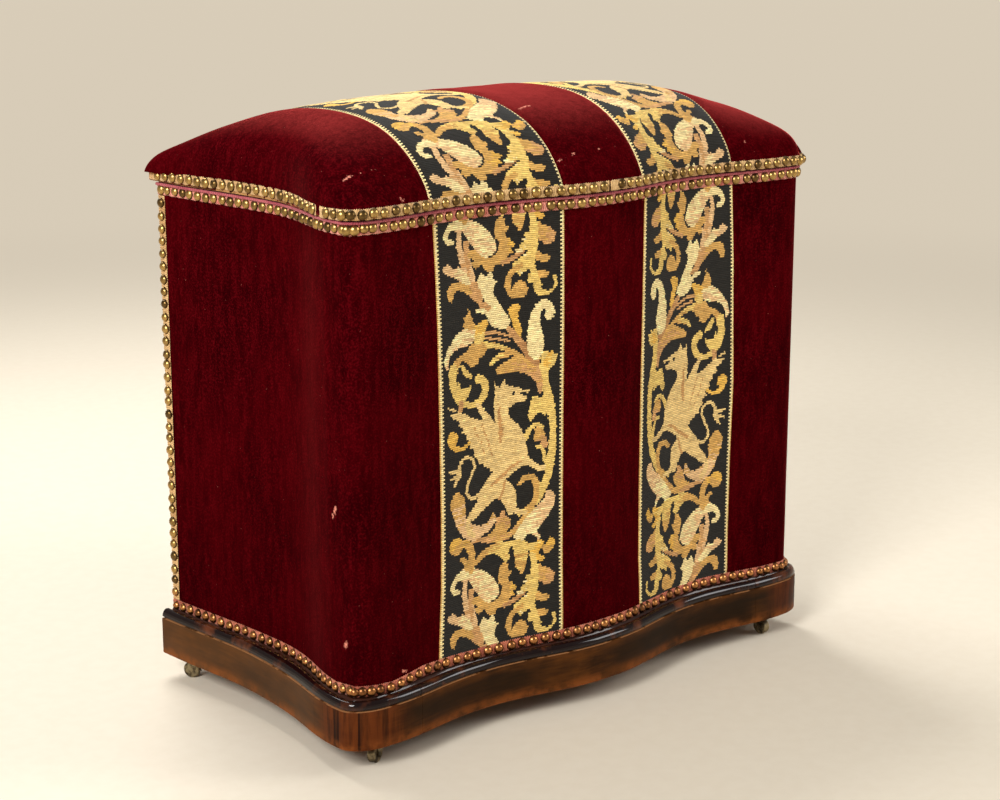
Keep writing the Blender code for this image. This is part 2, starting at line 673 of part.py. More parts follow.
def hinge(side, middle):
    start, end = middle - HINGE_LENGTH / 2, middle + HINGE_LENGTH / 2
    inner = HINGE_LENGTH * HINGE_SPLIT
    leaf_y = BACK_Y + GAP
    low = HINGE_Z - BOX_LEAF_HEIGHT
    notch = HINGE_Z - HINGE_KNUCKLE - 2 * GAP
    box_leaf = node("hinge_box_leaf_" + side, block((start, leaf_y, low), (end, leaf_y + HINGE_LEAF, HINGE_Z)),
                    "brass")
    boolean(box_leaf, block((start + inner, leaf_y - GAP, notch),
                            (end - inner, leaf_y + 2 * HINGE_LEAF, LID_RIM)), "DIFFERENCE")
    for first, last in ((start, start + inner), (end - inner, end)):
        boolean(box_leaf, rod((first, HINGE_Y, HINGE_Z), (last, HINGE_Y, HINGE_Z), HINGE_KNUCKLE), "UNION")
    pin_start, pin_end = start + HINGE_PIN_INSET, end - HINGE_PIN_INSET
    boolean(box_leaf, rod((pin_start, HINGE_Y, HINGE_Z), (pin_end, HINGE_Y, HINGE_Z), HINGE_PIN), "UNION")
    leaf_low = LID_BOTTOM + GAP
    back = HINGE_Y + HINGE_KNUCKLE
    lid_leaf = node("hinge_lid_leaf_" + side, block(
        (start, back - LID_LEAF_DEPTH, leaf_low), (end, back, leaf_low + HINGE_LEAF)), "brass")
    first, last = start + inner + GAP, end - inner - GAP
    web = block((first, back - HINGE_LEAF, HINGE_Z), (last, back, leaf_low + HINGE_LEAF / 2))
    boolean(lid_leaf, web, "UNION")
    boolean(lid_leaf, rod((first, HINGE_Y, HINGE_Z), (last, HINGE_Y, HINGE_Z), HINGE_KNUCKLE), "UNION")
    boolean(lid_leaf, rod((first - GAP, HINGE_Y, HINGE_Z), (last + GAP, HINGE_Y, HINGE_Z), HINGE_PIN + GAP),
            "DIFFERENCE")
    pocket = block((start - GAP, back - LID_LEAF_DEPTH - GAP, LID_BOTTOM - GAP),
                   (end + GAP, back + GAP, leaf_low + HINGE_LEAF + GAP))
    boolean(lid_board, pocket, "DIFFERENCE")


hinge("left", -HINGE_X)
hinge("right", HINGE_X)

# Castors: plate and riveted spindle, horn with its axle, and wheel

def castor(place, x, y):
    plate_high = PLINTH_BOTTOM - GAP
    plate_low = plate_high - PLATE_THICK
    horn_high = plate_low - GAP
    horn_low = horn_high - HORN_THICK
    head_high = horn_low - GAP
    head_low = head_high - SPINDLE_HEAD_THICK
    plate = turned([
        (0.0, plate_high), (PLATE_RADIUS, plate_high), (PLATE_RADIUS, plate_low), (SPINDLE_RADIUS, plate_low),
        (SPINDLE_RADIUS, head_high), (SPINDLE_HEAD, head_high), (SPINDLE_HEAD, head_low), (0.0, head_low)])
    node("castor_plate_" + place, plate, "iron", (x, y, 0.0))
    heading = math.radians(CASTOR_HEADINGS[place])
    half = HORN_WIDTH / 2
    front, behind = -HORN_FRONT, CASTOR_TRAIL + HORN_BACK
    horn = node("castor_horn_" + place, block((front, -half, horn_low), (behind, half, horn_high)), "iron")
    arm_high = horn_high - HORN_THICK / 2
    arm = [(front + GAP, arm_high), (behind - GAP, arm_high), (CASTOR_TRAIL + HORN_EYE - GAP, WHEEL_RADIUS),
           (CASTOR_TRAIL, WHEEL_RADIUS - HORN_EYE), (CASTOR_TRAIL - HORN_EYE, WHEEL_RADIUS)]
    for near in (-half + GAP / 2, half - GAP / 2 - HORN_SIDE):
        bm = bmesh.new()
        bm.from_mesh(slab(arm, near, near + HORN_SIDE))
        bmesh.ops.rotate(bm, verts=bm.verts, matrix=Matrix.Rotation(math.pi / 2, 3, "X"))
        boolean(horn, tidy(bm, "arm"), "UNION")
    eye = rod((0.0, 0.0, horn_low - GAP), (0.0, 0.0, horn_high + GAP), SPINDLE_RADIUS + GAP)
    boolean(horn, eye, "DIFFERENCE")
    reach = half - HORN_SIDE / 2
    boolean(horn, rod((CASTOR_TRAIL, -reach, WHEEL_RADIUS), (CASTOR_TRAIL, reach, WHEEL_RADIUS), AXLE_RADIUS),
            "UNION")
    horn.location = (x, y, 0.0)
    horn.rotation_euler = (0.0, 0.0, heading)
    bore, rim, flat = AXLE_RADIUS + GAP, WHEEL_RADIUS, WHEEL_WIDTH / 2
    ease = WHEEL_EASE
    wheel_mesh = turned([(bore, -flat), (rim - ease, -flat), (rim, -flat + ease), (rim, flat - ease),
                         (rim - ease, flat), (bore, flat)], "X", 32)
    wheel = node("castor_wheel_" + place, wheel_mesh, "iron")
    wheel.location = (x + CASTOR_TRAIL * math.cos(heading), y + CASTOR_TRAIL * math.sin(heading), WHEEL_RADIUS)
    wheel.rotation_euler = (0.0, 0.0, heading + math.pi / 2)


for row, (draw, depth) in (("front", CASTOR_FRONT), ("back", CASTOR_BACK)):
    castor(row + "_left", draw - PLINTH_HALF_WIDTH, FRONT_Y + depth)
    castor(row + "_right", PLINTH_HALF_WIDTH - draw, FRONT_Y + depth)

# The lid's pieces hang from an empty on the hinge axis
lid_axis = bpy.data.objects.new("lid_axis", None)
lid_axis.location = (0.0, HINGE_Y, HINGE_Z)
parts.objects.link(lid_axis)
bpy.context.view_layer.update()
for obj in parts.objects:
    if obj.type == "MESH" and obj.name.startswith(("lid_", "hinge_lid_")):
        obj.parent = lid_axis
        obj.matrix_parent_inverse = lid_axis.matrix_world.inverted()

# Curved faces are shaded smooth, and sharp edges stay crisp
for obj in parts.objects:
    if obj.type == "MESH":
        obj.data.shade_smooth()
        obj.data.set_sharp_from_angle(angle=CRISP_ANGLE)
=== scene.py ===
import json
import math

import bmesh
import bpy
import numpy as np
from mathutils import Matrix, Vector

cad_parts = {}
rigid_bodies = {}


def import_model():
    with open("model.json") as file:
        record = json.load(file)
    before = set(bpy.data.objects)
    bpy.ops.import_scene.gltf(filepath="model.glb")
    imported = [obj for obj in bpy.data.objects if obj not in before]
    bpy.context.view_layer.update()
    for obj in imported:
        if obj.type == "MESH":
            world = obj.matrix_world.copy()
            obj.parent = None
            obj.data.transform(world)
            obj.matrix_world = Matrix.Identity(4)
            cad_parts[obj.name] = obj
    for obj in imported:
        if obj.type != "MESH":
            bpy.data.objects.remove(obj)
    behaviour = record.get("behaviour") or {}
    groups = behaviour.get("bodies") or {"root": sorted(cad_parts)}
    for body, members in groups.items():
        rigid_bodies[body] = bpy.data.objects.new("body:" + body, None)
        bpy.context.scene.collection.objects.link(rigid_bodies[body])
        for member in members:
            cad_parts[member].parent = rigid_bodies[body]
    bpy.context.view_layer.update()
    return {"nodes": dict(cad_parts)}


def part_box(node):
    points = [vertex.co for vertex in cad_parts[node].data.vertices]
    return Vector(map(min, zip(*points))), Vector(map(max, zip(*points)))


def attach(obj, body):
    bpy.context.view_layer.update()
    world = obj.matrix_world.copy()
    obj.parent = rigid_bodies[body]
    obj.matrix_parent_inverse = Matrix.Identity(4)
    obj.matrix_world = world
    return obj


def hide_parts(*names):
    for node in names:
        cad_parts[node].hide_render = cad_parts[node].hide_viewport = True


for old in list(bpy.data.objects):  # start-up cube, lamp and camera
    bpy.data.objects.remove(old, do_unlink=True)
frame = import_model()
nodes = frame["nodes"]
chance = np.random.default_rng(1856)

plan = {
    "frontY": -0.1808, "backY": 0.1738, "halfWidth": 0.310, "noseDepth": 0.0332,
    "trough": (0.1498, 0.0206), "lobe": (0.2745, 0.0084), "waist": (0.2832, 0.1787), "cornerX": 0.2911,
    "soft": 0.42, "round": 0.552, "straight": 0.35, "steps": 40, "overrun": 0.03,
}


def srgb(red, green, blue):
    levels = np.array((red, green, blue)) / 255
    return tuple(np.where(levels < 0.04045, levels / 12.92, ((levels + 0.055) / 1.055) ** 2.4)) + (1.0,)


# plan line: half of the serpentine from the middle of the front to the back corner, then on past it

def bowSpan(start, lead, trail, end):
    t = np.linspace(0, 1, plan["steps"] + 1)[:, None]
    start, end = np.array(start), np.array(end)
    near, far = start + lead, end - trail
    return (1 - t) ** 3 * start + 3 * (1 - t) ** 2 * t * near + 3 * (1 - t) * t ** 2 * far + t ** 3 * end


def halfPlan():
    front, across, back = plan["frontY"], np.array((1.0, 0.0)), np.array((0.0, 1.0))
    bow = (0.0, front)
    trough = (plan["trough"][0], front + plan["trough"][1])
    lobe = (plan["lobe"][0], front + plan["lobe"][1])
    nose = (plan["halfWidth"], front + plan["noseDepth"])
    waist = (plan["waist"][0], front + plan["waist"][1])
    corner = (plan["cornerX"], plan["backY"])

    def even(start, end, axis, share):
        reach = share * abs(np.dot(np.subtract(end, start), axis)) * axis
        return bowSpan(start, reach, reach, end)

    spans = [
        even(bow, trough, across, plan["soft"]),
        even(trough, lobe, across, plan["soft"]),
        bowSpan(lobe, plan["round"] * (nose[0] - lobe[0]) * across,
                plan["round"] * (nose[1] - lobe[1]) * back, nose),
        even(nose, waist, back, plan["soft"]),
        even(waist, corner, back, plan["straight"]),
    ]
    return np.vstack([spans[0][:1]] + [span[1:] for span in spans] + [[(corner[0], corner[1] + plan["overrun"])]])


halfLine = halfPlan()
slopes = np.gradient(halfLine, axis=0)
slopes[0], slopes[-1], slopes[-2] = (1.0, 0.0), (0.0, 1.0), (0.0, 1.0)
slopes /= np.linalg.norm(slopes, axis=1)[:, None]
outward = np.stack([slopes[:, 1], -slopes[:, 0]], axis=1)
runs = np.concatenate([[0.0], np.cumsum(np.linalg.norm(np.diff(halfLine, axis=0), axis=1))])
noseRun = runs[3 * plan["steps"]]
cornerRun = runs[-2]


def planAt(run, inset, sideInset=None):  # a point on the plan line, drawn in by an inset
    away, hand = np.abs(run), np.where(np.asarray(run) < 0, -1.0, 1.0)
    x, y = np.interp(away, runs, halfLine[:, 0]), np.interp(away, runs, halfLine[:, 1])
    nx, ny = np.interp(away, runs, outward[:, 0]), np.interp(away, runs, outward[:, 1])
    drawn = inset if sideInset is None else inset * (1 - nx ** 2) + sideInset * nx ** 2
    return hand * (x - nx * drawn), y - ny * drawn


def facing(run):
    away, hand = np.abs(run), np.where(np.asarray(run) < 0, -1.0, 1.0)
    return hand * np.interp(away, runs, outward[:, 0]), np.interp(away, runs, outward[:, 1])


def runAtX(x, inset, sideInset=None):
    some = np.linspace(0, noseRun, 400)
    return np.sign(x) * np.interp(np.abs(x), planAt(some, inset, sideInset)[0], some)


def runAtBack(y):
    return cornerRun + y - plan["backY"]


# meshes

def easedShares(count):  # 0 to 1, closer together at both ends
    return (1 - np.cos(np.linspace(0, np.pi, count))) / 2


def ringAngles(count):
    return np.linspace(0, 2 * np.pi, count, endpoint=False)


def meshOf(name, points, faces, smooth=True):
    mesh = bpy.data.meshes.new(name)
    mesh.from_pydata([tuple(p) for p in points], [], [tuple(f) for f in faces])
    mesh.polygons.foreach_set("use_smooth", [smooth] * len(mesh.polygons))
    mesh.update()
    return mesh


def gridFaces(rows, cols, wrapCols=False, flip=False):
    i = np.arange(rows - 1)[:, None]
    j = np.arange(cols if wrapCols else cols - 1)[None, :]
    up, on = i + 1, (j + 1) % cols
    loop = [i * cols + j, i * cols + on, up * cols + on, up * cols + j]
    return np.stack(loop[::-1] if flip else loop, axis=-1).reshape(-1, 4)


def placed(name, data):
    made = bpy.data.objects.new(name, data)
    bpy.context.scene.collection.objects.link(made)
    return made


def pieceOf(name, mesh, paint, body, slot, *replaced):
    made = placed(name, mesh)
    mesh.materials.append(paint.material)
    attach(made, body)
    if replaced:
        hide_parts(*replaced)
    return made


def thicken(piece, thick):
    shell = piece.modifiers.new("thickness", "SOLIDIFY")
    shell.thickness, shell.offset = thick, -1.0
    return piece


def tagPoints(mesh, name, values):
    mesh.attributes.new(name, "FLOAT", "POINT").data.foreach_set("value", np.asarray(values, np.float32).ravel())


def mapFaces(mesh, name, uv):  # uv per point, spread to the corners
    layer = mesh.uv_layers.new(name=name)
    corner = np.zeros(len(mesh.loops), np.int32)
    mesh.loops.foreach_get("vertex_index", corner)
    layer.data.foreach_set("uv", np.asarray(uv, np.float32).reshape(-1, 2)[corner].ravel())


# shader sockets as plain expressions

class Value:
    def __init__(self, paint, socket):
        self.paint, self.socket = paint, socket

    def maths(self, operation, first, second=0.0):
        return self.paint.node("ShaderNodeMath", {"operation": operation}, {0: first, 1: second})

    def __add__(self, other):
        return self.maths("ADD", self, other)

    def __sub__(self, other):
        return self.maths("SUBTRACT", self, other)

    def __rsub__(self, other):
        return self.maths("SUBTRACT", other, self)

    def __mul__(self, other):
        return self.maths("MULTIPLY", self, other)

    def __truediv__(self, other):
        return self.maths("DIVIDE", self, other)

    __radd__ = __add__
    __rmul__ = __mul__

    def fraction(self):
        return self.maths("FRACT", self)

    def above(self, other):
        return self.maths("GREATER_THAN", self, other)

    def size(self):
        return self.maths("ABSOLUTE", self)

    def over(self, low, high):  # 0 below low, 1 above high
        return self.paint.node("ShaderNodeMapRange", {"interpolation_type": "SMOOTHSTEP"},
                               {0: self, 1: low, 2: high, 3: 0.0, 4: 1.0})


class Paint:
    def __init__(self, name, **fixed):
        self.material = bpy.data.materials.new(name)
        self.material.use_nodes = True
        self.tree = self.material.node_tree
        self.shader = self.tree.nodes["Principled BSDF"]
        for key, value in fixed.items():
            self.shader.inputs[key.replace("_", " ")].default_value = value

    def node(self, kind, settings=None, sockets=None, out=0):
        made = self.tree.nodes.new(kind)
        for key, value in (settings or {}).items():
            if key == "stops":
                self.setStops(made.color_ramp, value)
            else:
                setattr(made, key, value)
        for key, value in (sockets or {}).items():
            if isinstance(value, Value):
                self.tree.links.new(value.socket, made.inputs[key])
            else:
                made.inputs[key].default_value = value
        return Value(self, made.outputs[out])

    def setStops(self, ramp, stops):
        while len(ramp.elements) < len(stops):
            ramp.elements.new(0.5)
        for element, (place, colour) in zip(ramp.elements, stops):
            element.position, element.color = place, colour

    def place(self):
        return self.node("ShaderNodeTexCoord", out="Object")

    def noise(self, vector, scale, detail=3.0, rough=0.55, warp=0.0, stretch=None):
        if stretch:
            vector = self.node("ShaderNodeVectorMath", {"operation": "MULTIPLY"}, {0: vector, 1: stretch})
        return self.node("ShaderNodeTexNoise", {}, {"Vector": vector, "Scale": scale, "Detail": detail,
                                                    "Roughness": rough, "Distortion": warp})

    def mix(self, factor, first, second, blend="MIX"):
        return self.node("ShaderNodeMix", {"data_type": "RGBA", "blend_type": blend, "clamp_factor": True},
                         {0: factor, 6: first, 7: second}, out=2)

    def part(self, vector, axis):
        return self.node("ShaderNodeSeparateXYZ", {}, {0: vector}, out=axis)

    def tag(self, name):
        return self.node("ShaderNodeAttribute", {"attribute_name": name}, out="Fac")

    def bump(self, height, strength, distance):
        self.feed("Normal", self.node("ShaderNodeBump", {}, {"Height": height, "Strength": strength,
                                                             "Distance": distance}))

    def feed(self, socket, value):
        self.tree.links.new(value.socket, self.shader.inputs[socket])


# finishes

velvet = {
    "deep": srgb(40, 0, 3), "body": srgb(64, 1, 5), "lit": srgb(92, 7, 14), "bare": srgb(214, 132, 112),
    # the next two colours are painted light: sheen on the lid top, shade towards the foot of the box
    "paintedSheen": srgb(138, 46, 44), "paintedLowShade": srgb(30, 0, 2),
    "paintedLowShadeHeight": (0.04, 0.46), "crestHeight": (0.545, 0.600), "rightLift": 0.028, "rightFrom": (0.12, 0.26),
    "ragged": 0.006,
    "scuffs": [  # rubbed lines in millimetres: width, then points x, y, z
        (1.7, (-283, -133, 542), (-277, -133, 544)), (1.5, (-277, -133, 544), (-273, -134, 545.5)),
        (0.9, (-268, -134, 546), (-246, -134, 548)), (1.3, (-282, -62, 545), (-284, -60, 544)),
        (1.4, (-237, -154, 522), (-234, -154.5, 521)), (1.9, (-294, -127, 246), (-294, -125, 241)),
        (1.4, (-293, -122, 238), (-293, -122, 236)), (2.0, (-295, -141, 121), (-295, -139, 118)),
        (1.4, (-242, -156, 85), (-238, -155.5, 85)), (1.2, (-40, -90.5, 581.5), (-30, -87.5, 583)),
        (0.8, (-30, -87.5, 583), (-22, -86, 584)), (0.8, (-45, -151, 539), (-41, -150.5, 540)),
        (0.9, (-26, -149.5, 543.5), (-23, -149, 544)), (0.9, (10, -148.5, 545.5), (13, -148, 546.5)),
        (1.1, (222, -144, 535.5), (224, -143.5, 536.5)),
    ],
}


def velvetPaint(name):
    paint = Paint(name, Roughness=1.0, Sheen_Weight=0.72, Sheen_Roughness=0.24,
                  Sheen_Tint=srgb(255, 96, 92), Specular_IOR_Level=0.0)
    at = paint.place()
    nap = paint.noise(at, 520.0, 3.0, 0.6)
    brushed = paint.noise(at, 150.0, 4.0, 0.6, stretch=(1.0, 1.0, 0.22))
    streak = paint.noise(at, 38.0, 4.0, 0.6, stretch=(1.0, 1.0, 0.10))
    cloud = paint.noise(at, 8.0, 3.0)
    tone = (streak * 0.20 + cloud * 0.50 + brushed * 0.30).over(0.36, 0.64)
    colour = paint.mix(tone, velvet["deep"], velvet["body"])
    colour = paint.mix((nap * 0.7 + brushed * 0.3).over(0.44, 0.68) * 0.80, colour, velvet["lit"])
    level = paint.part(paint.node("ShaderNodeTexCoord", out="Normal"), 2)
    height = paint.part(at, 2)
    # painted sheen: the lid's upward-facing crest, reaching further down at the right end, is drawn paler
    crest = height + paint.part(at, 0).over(*velvet["rightFrom"]) * velvet["rightLift"]
    pale = (cloud * 0.4 + brushed * 0.3 + nap * 0.3).over(0.22, 0.66)
    paintedSheenMask = level.over(0.60, 0.99) * crest.over(*velvet["crestHeight"]) * pale
    colour = paint.mix(paintedSheenMask * 0.80, colour, velvet["paintedSheen"])  # painted sheen: the upward-facing top of the lid drawn pale, where grazing light lifts the nap
    # painted shade: the velvet darkened towards the bottom of the box, where less light reaches it
    lowShadeMask = 1 - height.over(*velvet["paintedLowShadeHeight"])
    colour = paint.mix(lowShadeMask * 0.30, colour, velvet["paintedLowShade"])
    lint = paint.noise(at, 430.0, 1.0).over(0.795, 0.83) * 0.4
    ragged = paint.node("ShaderNodeVectorMath", {"operation": "MULTIPLY_ADD"},
                        {0: paint.node("ShaderNodeTexNoise", {}, {"Vector": at, "Scale": 420.0, "Detail": 2.0}, out=1),
                         1: (velvet["ragged"],) * 3, 2: at})
    for width, start, end in velvet["scuffs"]:
        start, end = [np.array(point) / 1000 + velvet["ragged"] / 2 for point in (start, end)]
        for share in np.linspace(0, 1, int(np.linalg.norm(end - start) / (width * 0.0011)) + 2):
            spot = tuple(start * (1 - share) + end * share)
            away = paint.node("ShaderNodeVectorMath", {"operation": "DISTANCE"}, {0: ragged, 1: spot}, out="Value")
            lint = lint + (1 - away.over(width * 0.0006, width * 0.0015)) * 0.6
    paint.feed("Base Color", paint.mix(lint, colour, velvet["bare"]))
    paint.bump(nap * 0.6 + brushed * 0.4, 0.35, 0.0006)
    return paint


def woolPaint(name):
    paint = Paint(name, Roughness=0.95, Sheen_Weight=0.10, Sheen_Roughness=0.5, Specular_IOR_Level=0.10)
    weave = paint.node("ShaderNodeUVMap", {"uv_map": "weave"})
    across, up = paint.part(weave, 0), paint.part(weave, 1)
    rib = up.fraction()
    rib = rib * (1 - rib) * 4
    yarn = paint.noise(weave, 1.0, 2.0, stretch=(0.5, 2.4, 1.0))
    fuzz = paint.noise(paint.place(), 1100.0, 2.0)
    first, second = [paint.node("ShaderNodeAttribute", {"attribute_name": dye}) for dye in ("dyeLeft", "dyeRight")]
    dyed = paint.mix(across.fraction().above(paint.tag("turn")), first, second)
    dyed = paint.mix(yarn.over(0.40, 0.70) * 0.35, dyed, srgb(196, 140, 84), "SOFT_LIGHT")
    # painted shade: the grooves between stitch rows are darkened, following the rib profile
    groove = paint.mix(1.0, dyed, srgb(152, 138, 118), "MULTIPLY")
    paint.feed("Base Color", paint.mix((rib * 0.8 + fuzz * 0.3).over(0.20, 0.72), groove, dyed))
    paint.bump(rib * 0.6 + fuzz * 0.4, 0.6, 0.0006)
    return paint


def braidPaint(name, low, high, groove, period):
    paint = Paint(name, Roughness=0.9, Sheen_Weight=0.12, Sheen_Roughness=0.5, Specular_IOR_Level=0.15)
    weave = paint.node("ShaderNodeUVMap", {"uv_map": "weave"})
    along, up = paint.part(weave, 0), paint.part(weave, 1)
    twist = (along / period + (up - 0.5).size() * 1.6).fraction()
    cord = twist * (1 - twist) * 4
    fuzz = paint.noise(paint.place(), 700.0, 3.0)
    cloud = paint.noise(paint.place(), 40.0, 2.0)
    colour = paint.mix((fuzz * 0.5 + cloud * 0.5).over(0.38, 0.62), low, high)
    # painted shade: the groove colour darkens the twist recesses, following the bump
    paint.feed("Base Color", paint.mix((cord + fuzz * 0.5).over(0.15, 0.75), groove, colour))
    paint.bump(cord + fuzz * 0.4, 0.7, 0.0006)
    return paint


nailTones = {
    "dull": srgb(98, 76, 44), "bright": srgb(176, 142, 84), "rim": srgb(48, 34, 20),
    "footDull": srgb(112, 72, 44), "footBright": srgb(182, 124, 74), "footHeight": (0.08, 0.10),
}


def nailPaint():
    paint = Paint("agedBrass", Metallic=1.0)
    at = paint.place()
    tone, rim = paint.tag("tone"), paint.tag("rim")
    stain = paint.noise(at, 240.0, 3.0)
    colour = paint.mix((tone * 0.7 + stain * 0.45).over(0.25, 0.85), nailTones["dull"], nailTones["bright"])
    low = 1 - paint.part(at, 2).over(*nailTones["footHeight"])  # the row at the foot is redder
    colour = paint.mix(low, colour, paint.mix(tone, nailTones["footDull"], nailTones["footBright"]))
    # painted shade and patina: each head is darkened towards its rim, where it meets the braid
    colour = paint.mix(rim.over(0.80, 1.0) * 0.85, colour, nailTones["rim"])
    paint.feed("Base Color", colour)
    paint.feed("Roughness", 0.22 + stain * 0.20 + rim.over(0.8, 1.0) * 0.2)
    paint.bump(stain, 0.12, 0.0004)
    return paint


veneer = {  # where the veneer changes on the plinth, in metres
    "cornerX": (0.236, 0.276), "cornerY": (-0.135, -0.105), "flankY": (-0.13, -0.07),
    "middle": 0.0455, "middleHalf": 0.017, "wornLow": 0.0240, "wornHigh": 0.0130, "lineHeight": (0.0613, 0.0617),
}


def rosewoodPaint():
    paint = Paint("rosewoodVeneer", Coat_Roughness=0.18, Specular_IOR_Level=0.03)
    at = paint.place()
    x, y, z = [paint.part(at, axis) for axis in range(3)]
    grain = paint.noise(at, 300.0, 4.0, 0.6, 0.2, stretch=(0.10, 0.10, 1.0))
    smoke = paint.noise(at, 15.0, 4.0, 0.6, 0.3, stretch=(1.0, 1.0, 1.8))
    shade = paint.noise(at, 9.0, 2.0, stretch=(0.8, 0.8, 1.6))
    upright = paint.noise(at, 130.0, 4.0, 0.65, stretch=(1.0, 1.0, 0.10))
    corner = x.size().over(*veneer["cornerX"]) * (1 - y.over(*veneer["cornerY"]))  # cross-banded corner blocks
    colour = paint.mix((grain * 0.35 + smoke * 0.65).over(0.36, 0.64), srgb(43, 24, 9), srgb(88, 49, 17))
    flank = y.over(*veneer["flankY"])
    colour = paint.mix(flank * 0.45, colour, srgb(98, 64, 34))
    middle = 1 - ((z - veneer["middle"]) / veneer["middleHalf"]).size().over(0.35, 1.0)
    colour = paint.mix(shade.over(0.42, 0.60) * middle * (0.85 - flank * 0.4), colour, srgb(30, 20, 10))
    block = paint.mix(upright.over(0.34, 0.66), srgb(48, 20, 8), srgb(94, 43, 16))
    colour = paint.mix(corner * 0.75, colour, block)
    crack = paint.noise(at, 150.0, 0.0, stretch=(1.0, 1.0, 0.016)).over(0.66, 0.69) * corner
    colour = paint.mix(crack * 0.85, colour, srgb(20, 9, 5))
    rub = paint.noise(at, 46.0, 4.0, 0.6)
    worn = (1 - (z - veneer["wornLow"]).over(0.0, veneer["wornHigh"])) * rub.over(0.36, 0.62)
    colour = paint.mix(worn * 0.75, colour, srgb(138, 76, 34))
    line = z.over(*veneer["lineHeight"]) * rub.over(0.40, 0.48)  # a pale broken line along the plinth's top edge, under the bead
    colour = paint.mix(line * 0.7, colour, srgb(168, 116, 74))
    paint.feed("Base Color", colour)
    paint.feed("Roughness", 0.34 + grain * 0.16 + worn * 0.12)
    paint.feed("Coat Weight", 0.05 - worn * 0.04)
    paint.bump(grain * 0.6 + upright * 0.3 - crack * 0.8, 0.14, 0.0005)
    return paint


def ebonisedPaint():
    paint = Paint("ebonisedMoulding", Coat_Roughness=0.06, Coat_Weight=0.42, Specular_IOR_Level=0.05)
    at = paint.place()
    grain = paint.noise(at, 90.0, 4.0, stretch=(1.0, 1.0, 3.0))
    rub = paint.noise(at, 17.0, 4.0, 0.65)
    colour = paint.mix(rub.over(0.50, 0.66) * 0.9, srgb(20, 8, 8), srgb(96, 48, 24))
    colour = paint.mix(paint.tag("cove") * 0.8, colour, srgb(62, 30, 19))
    chip = paint.noise(at, 230.0, 2.0).over(0.745, 0.77)
    paint.feed("Base Color", paint.mix(chip * 0.6, colour, srgb(160, 112, 72)))
    paint.feed("Roughness", 0.10 + grain * 0.12 + paint.tag("cove") * 0.25)
    paint.bump(grain, 0.08, 0.0004)
    return paint


def pinePaint():
    paint = Paint("pineBoards", Specular_IOR_Level=0.3)
    at = paint.place()
    ring = paint.noise(at, 8.0, 4.0, 0.6, 0.4, stretch=(0.35, 6.0, 6.0))
    fleck = paint.noise(at, 400.0, 3.0, stretch=(0.06, 1.0, 1.0))
    colour = paint.mix(ring.over(0.38, 0.62), srgb(176, 128, 78), srgb(134, 88, 48))
    paint.feed("Base Color", paint.mix(fleck.over(0.55, 0.75) * 0.5, colour, srgb(96, 60, 32)))
    paint.feed("Roughness", 0.55 + fleck * 0.3)
    paint.bump(fleck, 0.2, 0.0004)
    return paint


def clothPaint(name, light, dark, pitch, strength):
    paint = Paint(name, Roughness=0.92, Sheen_Weight=0.1, Sheen_Roughness=0.5, Specular_IOR_Level=0.15)
    at = paint.place()
    warp = paint.noise(at, 1 / pitch, 2.0, stretch=(1.0, 1.0, 0.15))
    weft = paint.noise(at, 1 / pitch, 2.0, stretch=(0.15, 0.15, 1.0))
    slub = paint.noise(at, 120.0, 3.0, stretch=(1.0, 1.0, 0.2))
    age = paint.noise(at, 7.0, 3.0)
    colour = paint.mix((warp * 0.3 + weft * 0.3 + slub * 0.4).over(0.36, 0.64), dark, light)
    paint.feed("Base Color", paint.mix(age.over(0.45, 0.75) * 0.35, colour, dark))
    paint.bump(warp + weft + slub * 0.5, strength, 0.0005)
    return paint


def metalPaint(name, clean, dull, rough):
    paint = Paint(name, Metallic=1.0)
    at = paint.place()
    stain = paint.noise(at, 130.0, 4.0, 0.6)
    pit = paint.noise(at, 700.0, 2.0)
    paint.feed("Base Color", paint.mix(stain.over(0.40, 0.64), clean, dull))
    paint.feed("Roughness", rough + stain * 0.3)
    paint.bump(pit, 0.15, 0.0003)
    return paint


crimson = velvetPaint("crimsonVelvet")
wool = woolPaint("woolNeedlework")
# each braid's third colour is painted shade for its twist grooves
tanBraid = braidPaint("tanBraid", srgb(194, 148, 94), srgb(230, 190, 132), srgb(142, 98, 60), 2.0)
pinkBraid = braidPaint("pinkBraid", srgb(216, 114, 100), srgb(242, 166, 144), srgb(166, 74, 66), 2.0)
baseBraid = braidPaint("baseBraid", srgb(156, 78, 58), srgb(204, 120, 90), srgb(102, 44, 34), 2.0)
cordBraid = braidPaint("pinkCord", srgb(164, 72, 82), srgb(192, 102, 106), srgb(126, 48, 58), 3.2)
brassNail = nailPaint()
rosewood = rosewoodPaint()
ebonised = ebonisedPaint()
pine = pinePaint()
lining = clothPaint("cottonLining", srgb(206, 186, 150), srgb(170, 146, 108), 0.0016, 0.3)
backing = clothPaint("backCotton", srgb(70, 48, 36), srgb(44, 29, 22), 0.0020, 0.35)
brass = metalPaint("hingeBrass", srgb(196, 158, 92), srgb(128, 96, 52), 0.25)
iron = metalPaint("castorIron", srgb(150, 136, 106), srgb(66, 56, 44), 0.35)
print("finishes ready")

# needlework chart: one repeat, drawn in millimetres across the band and up it

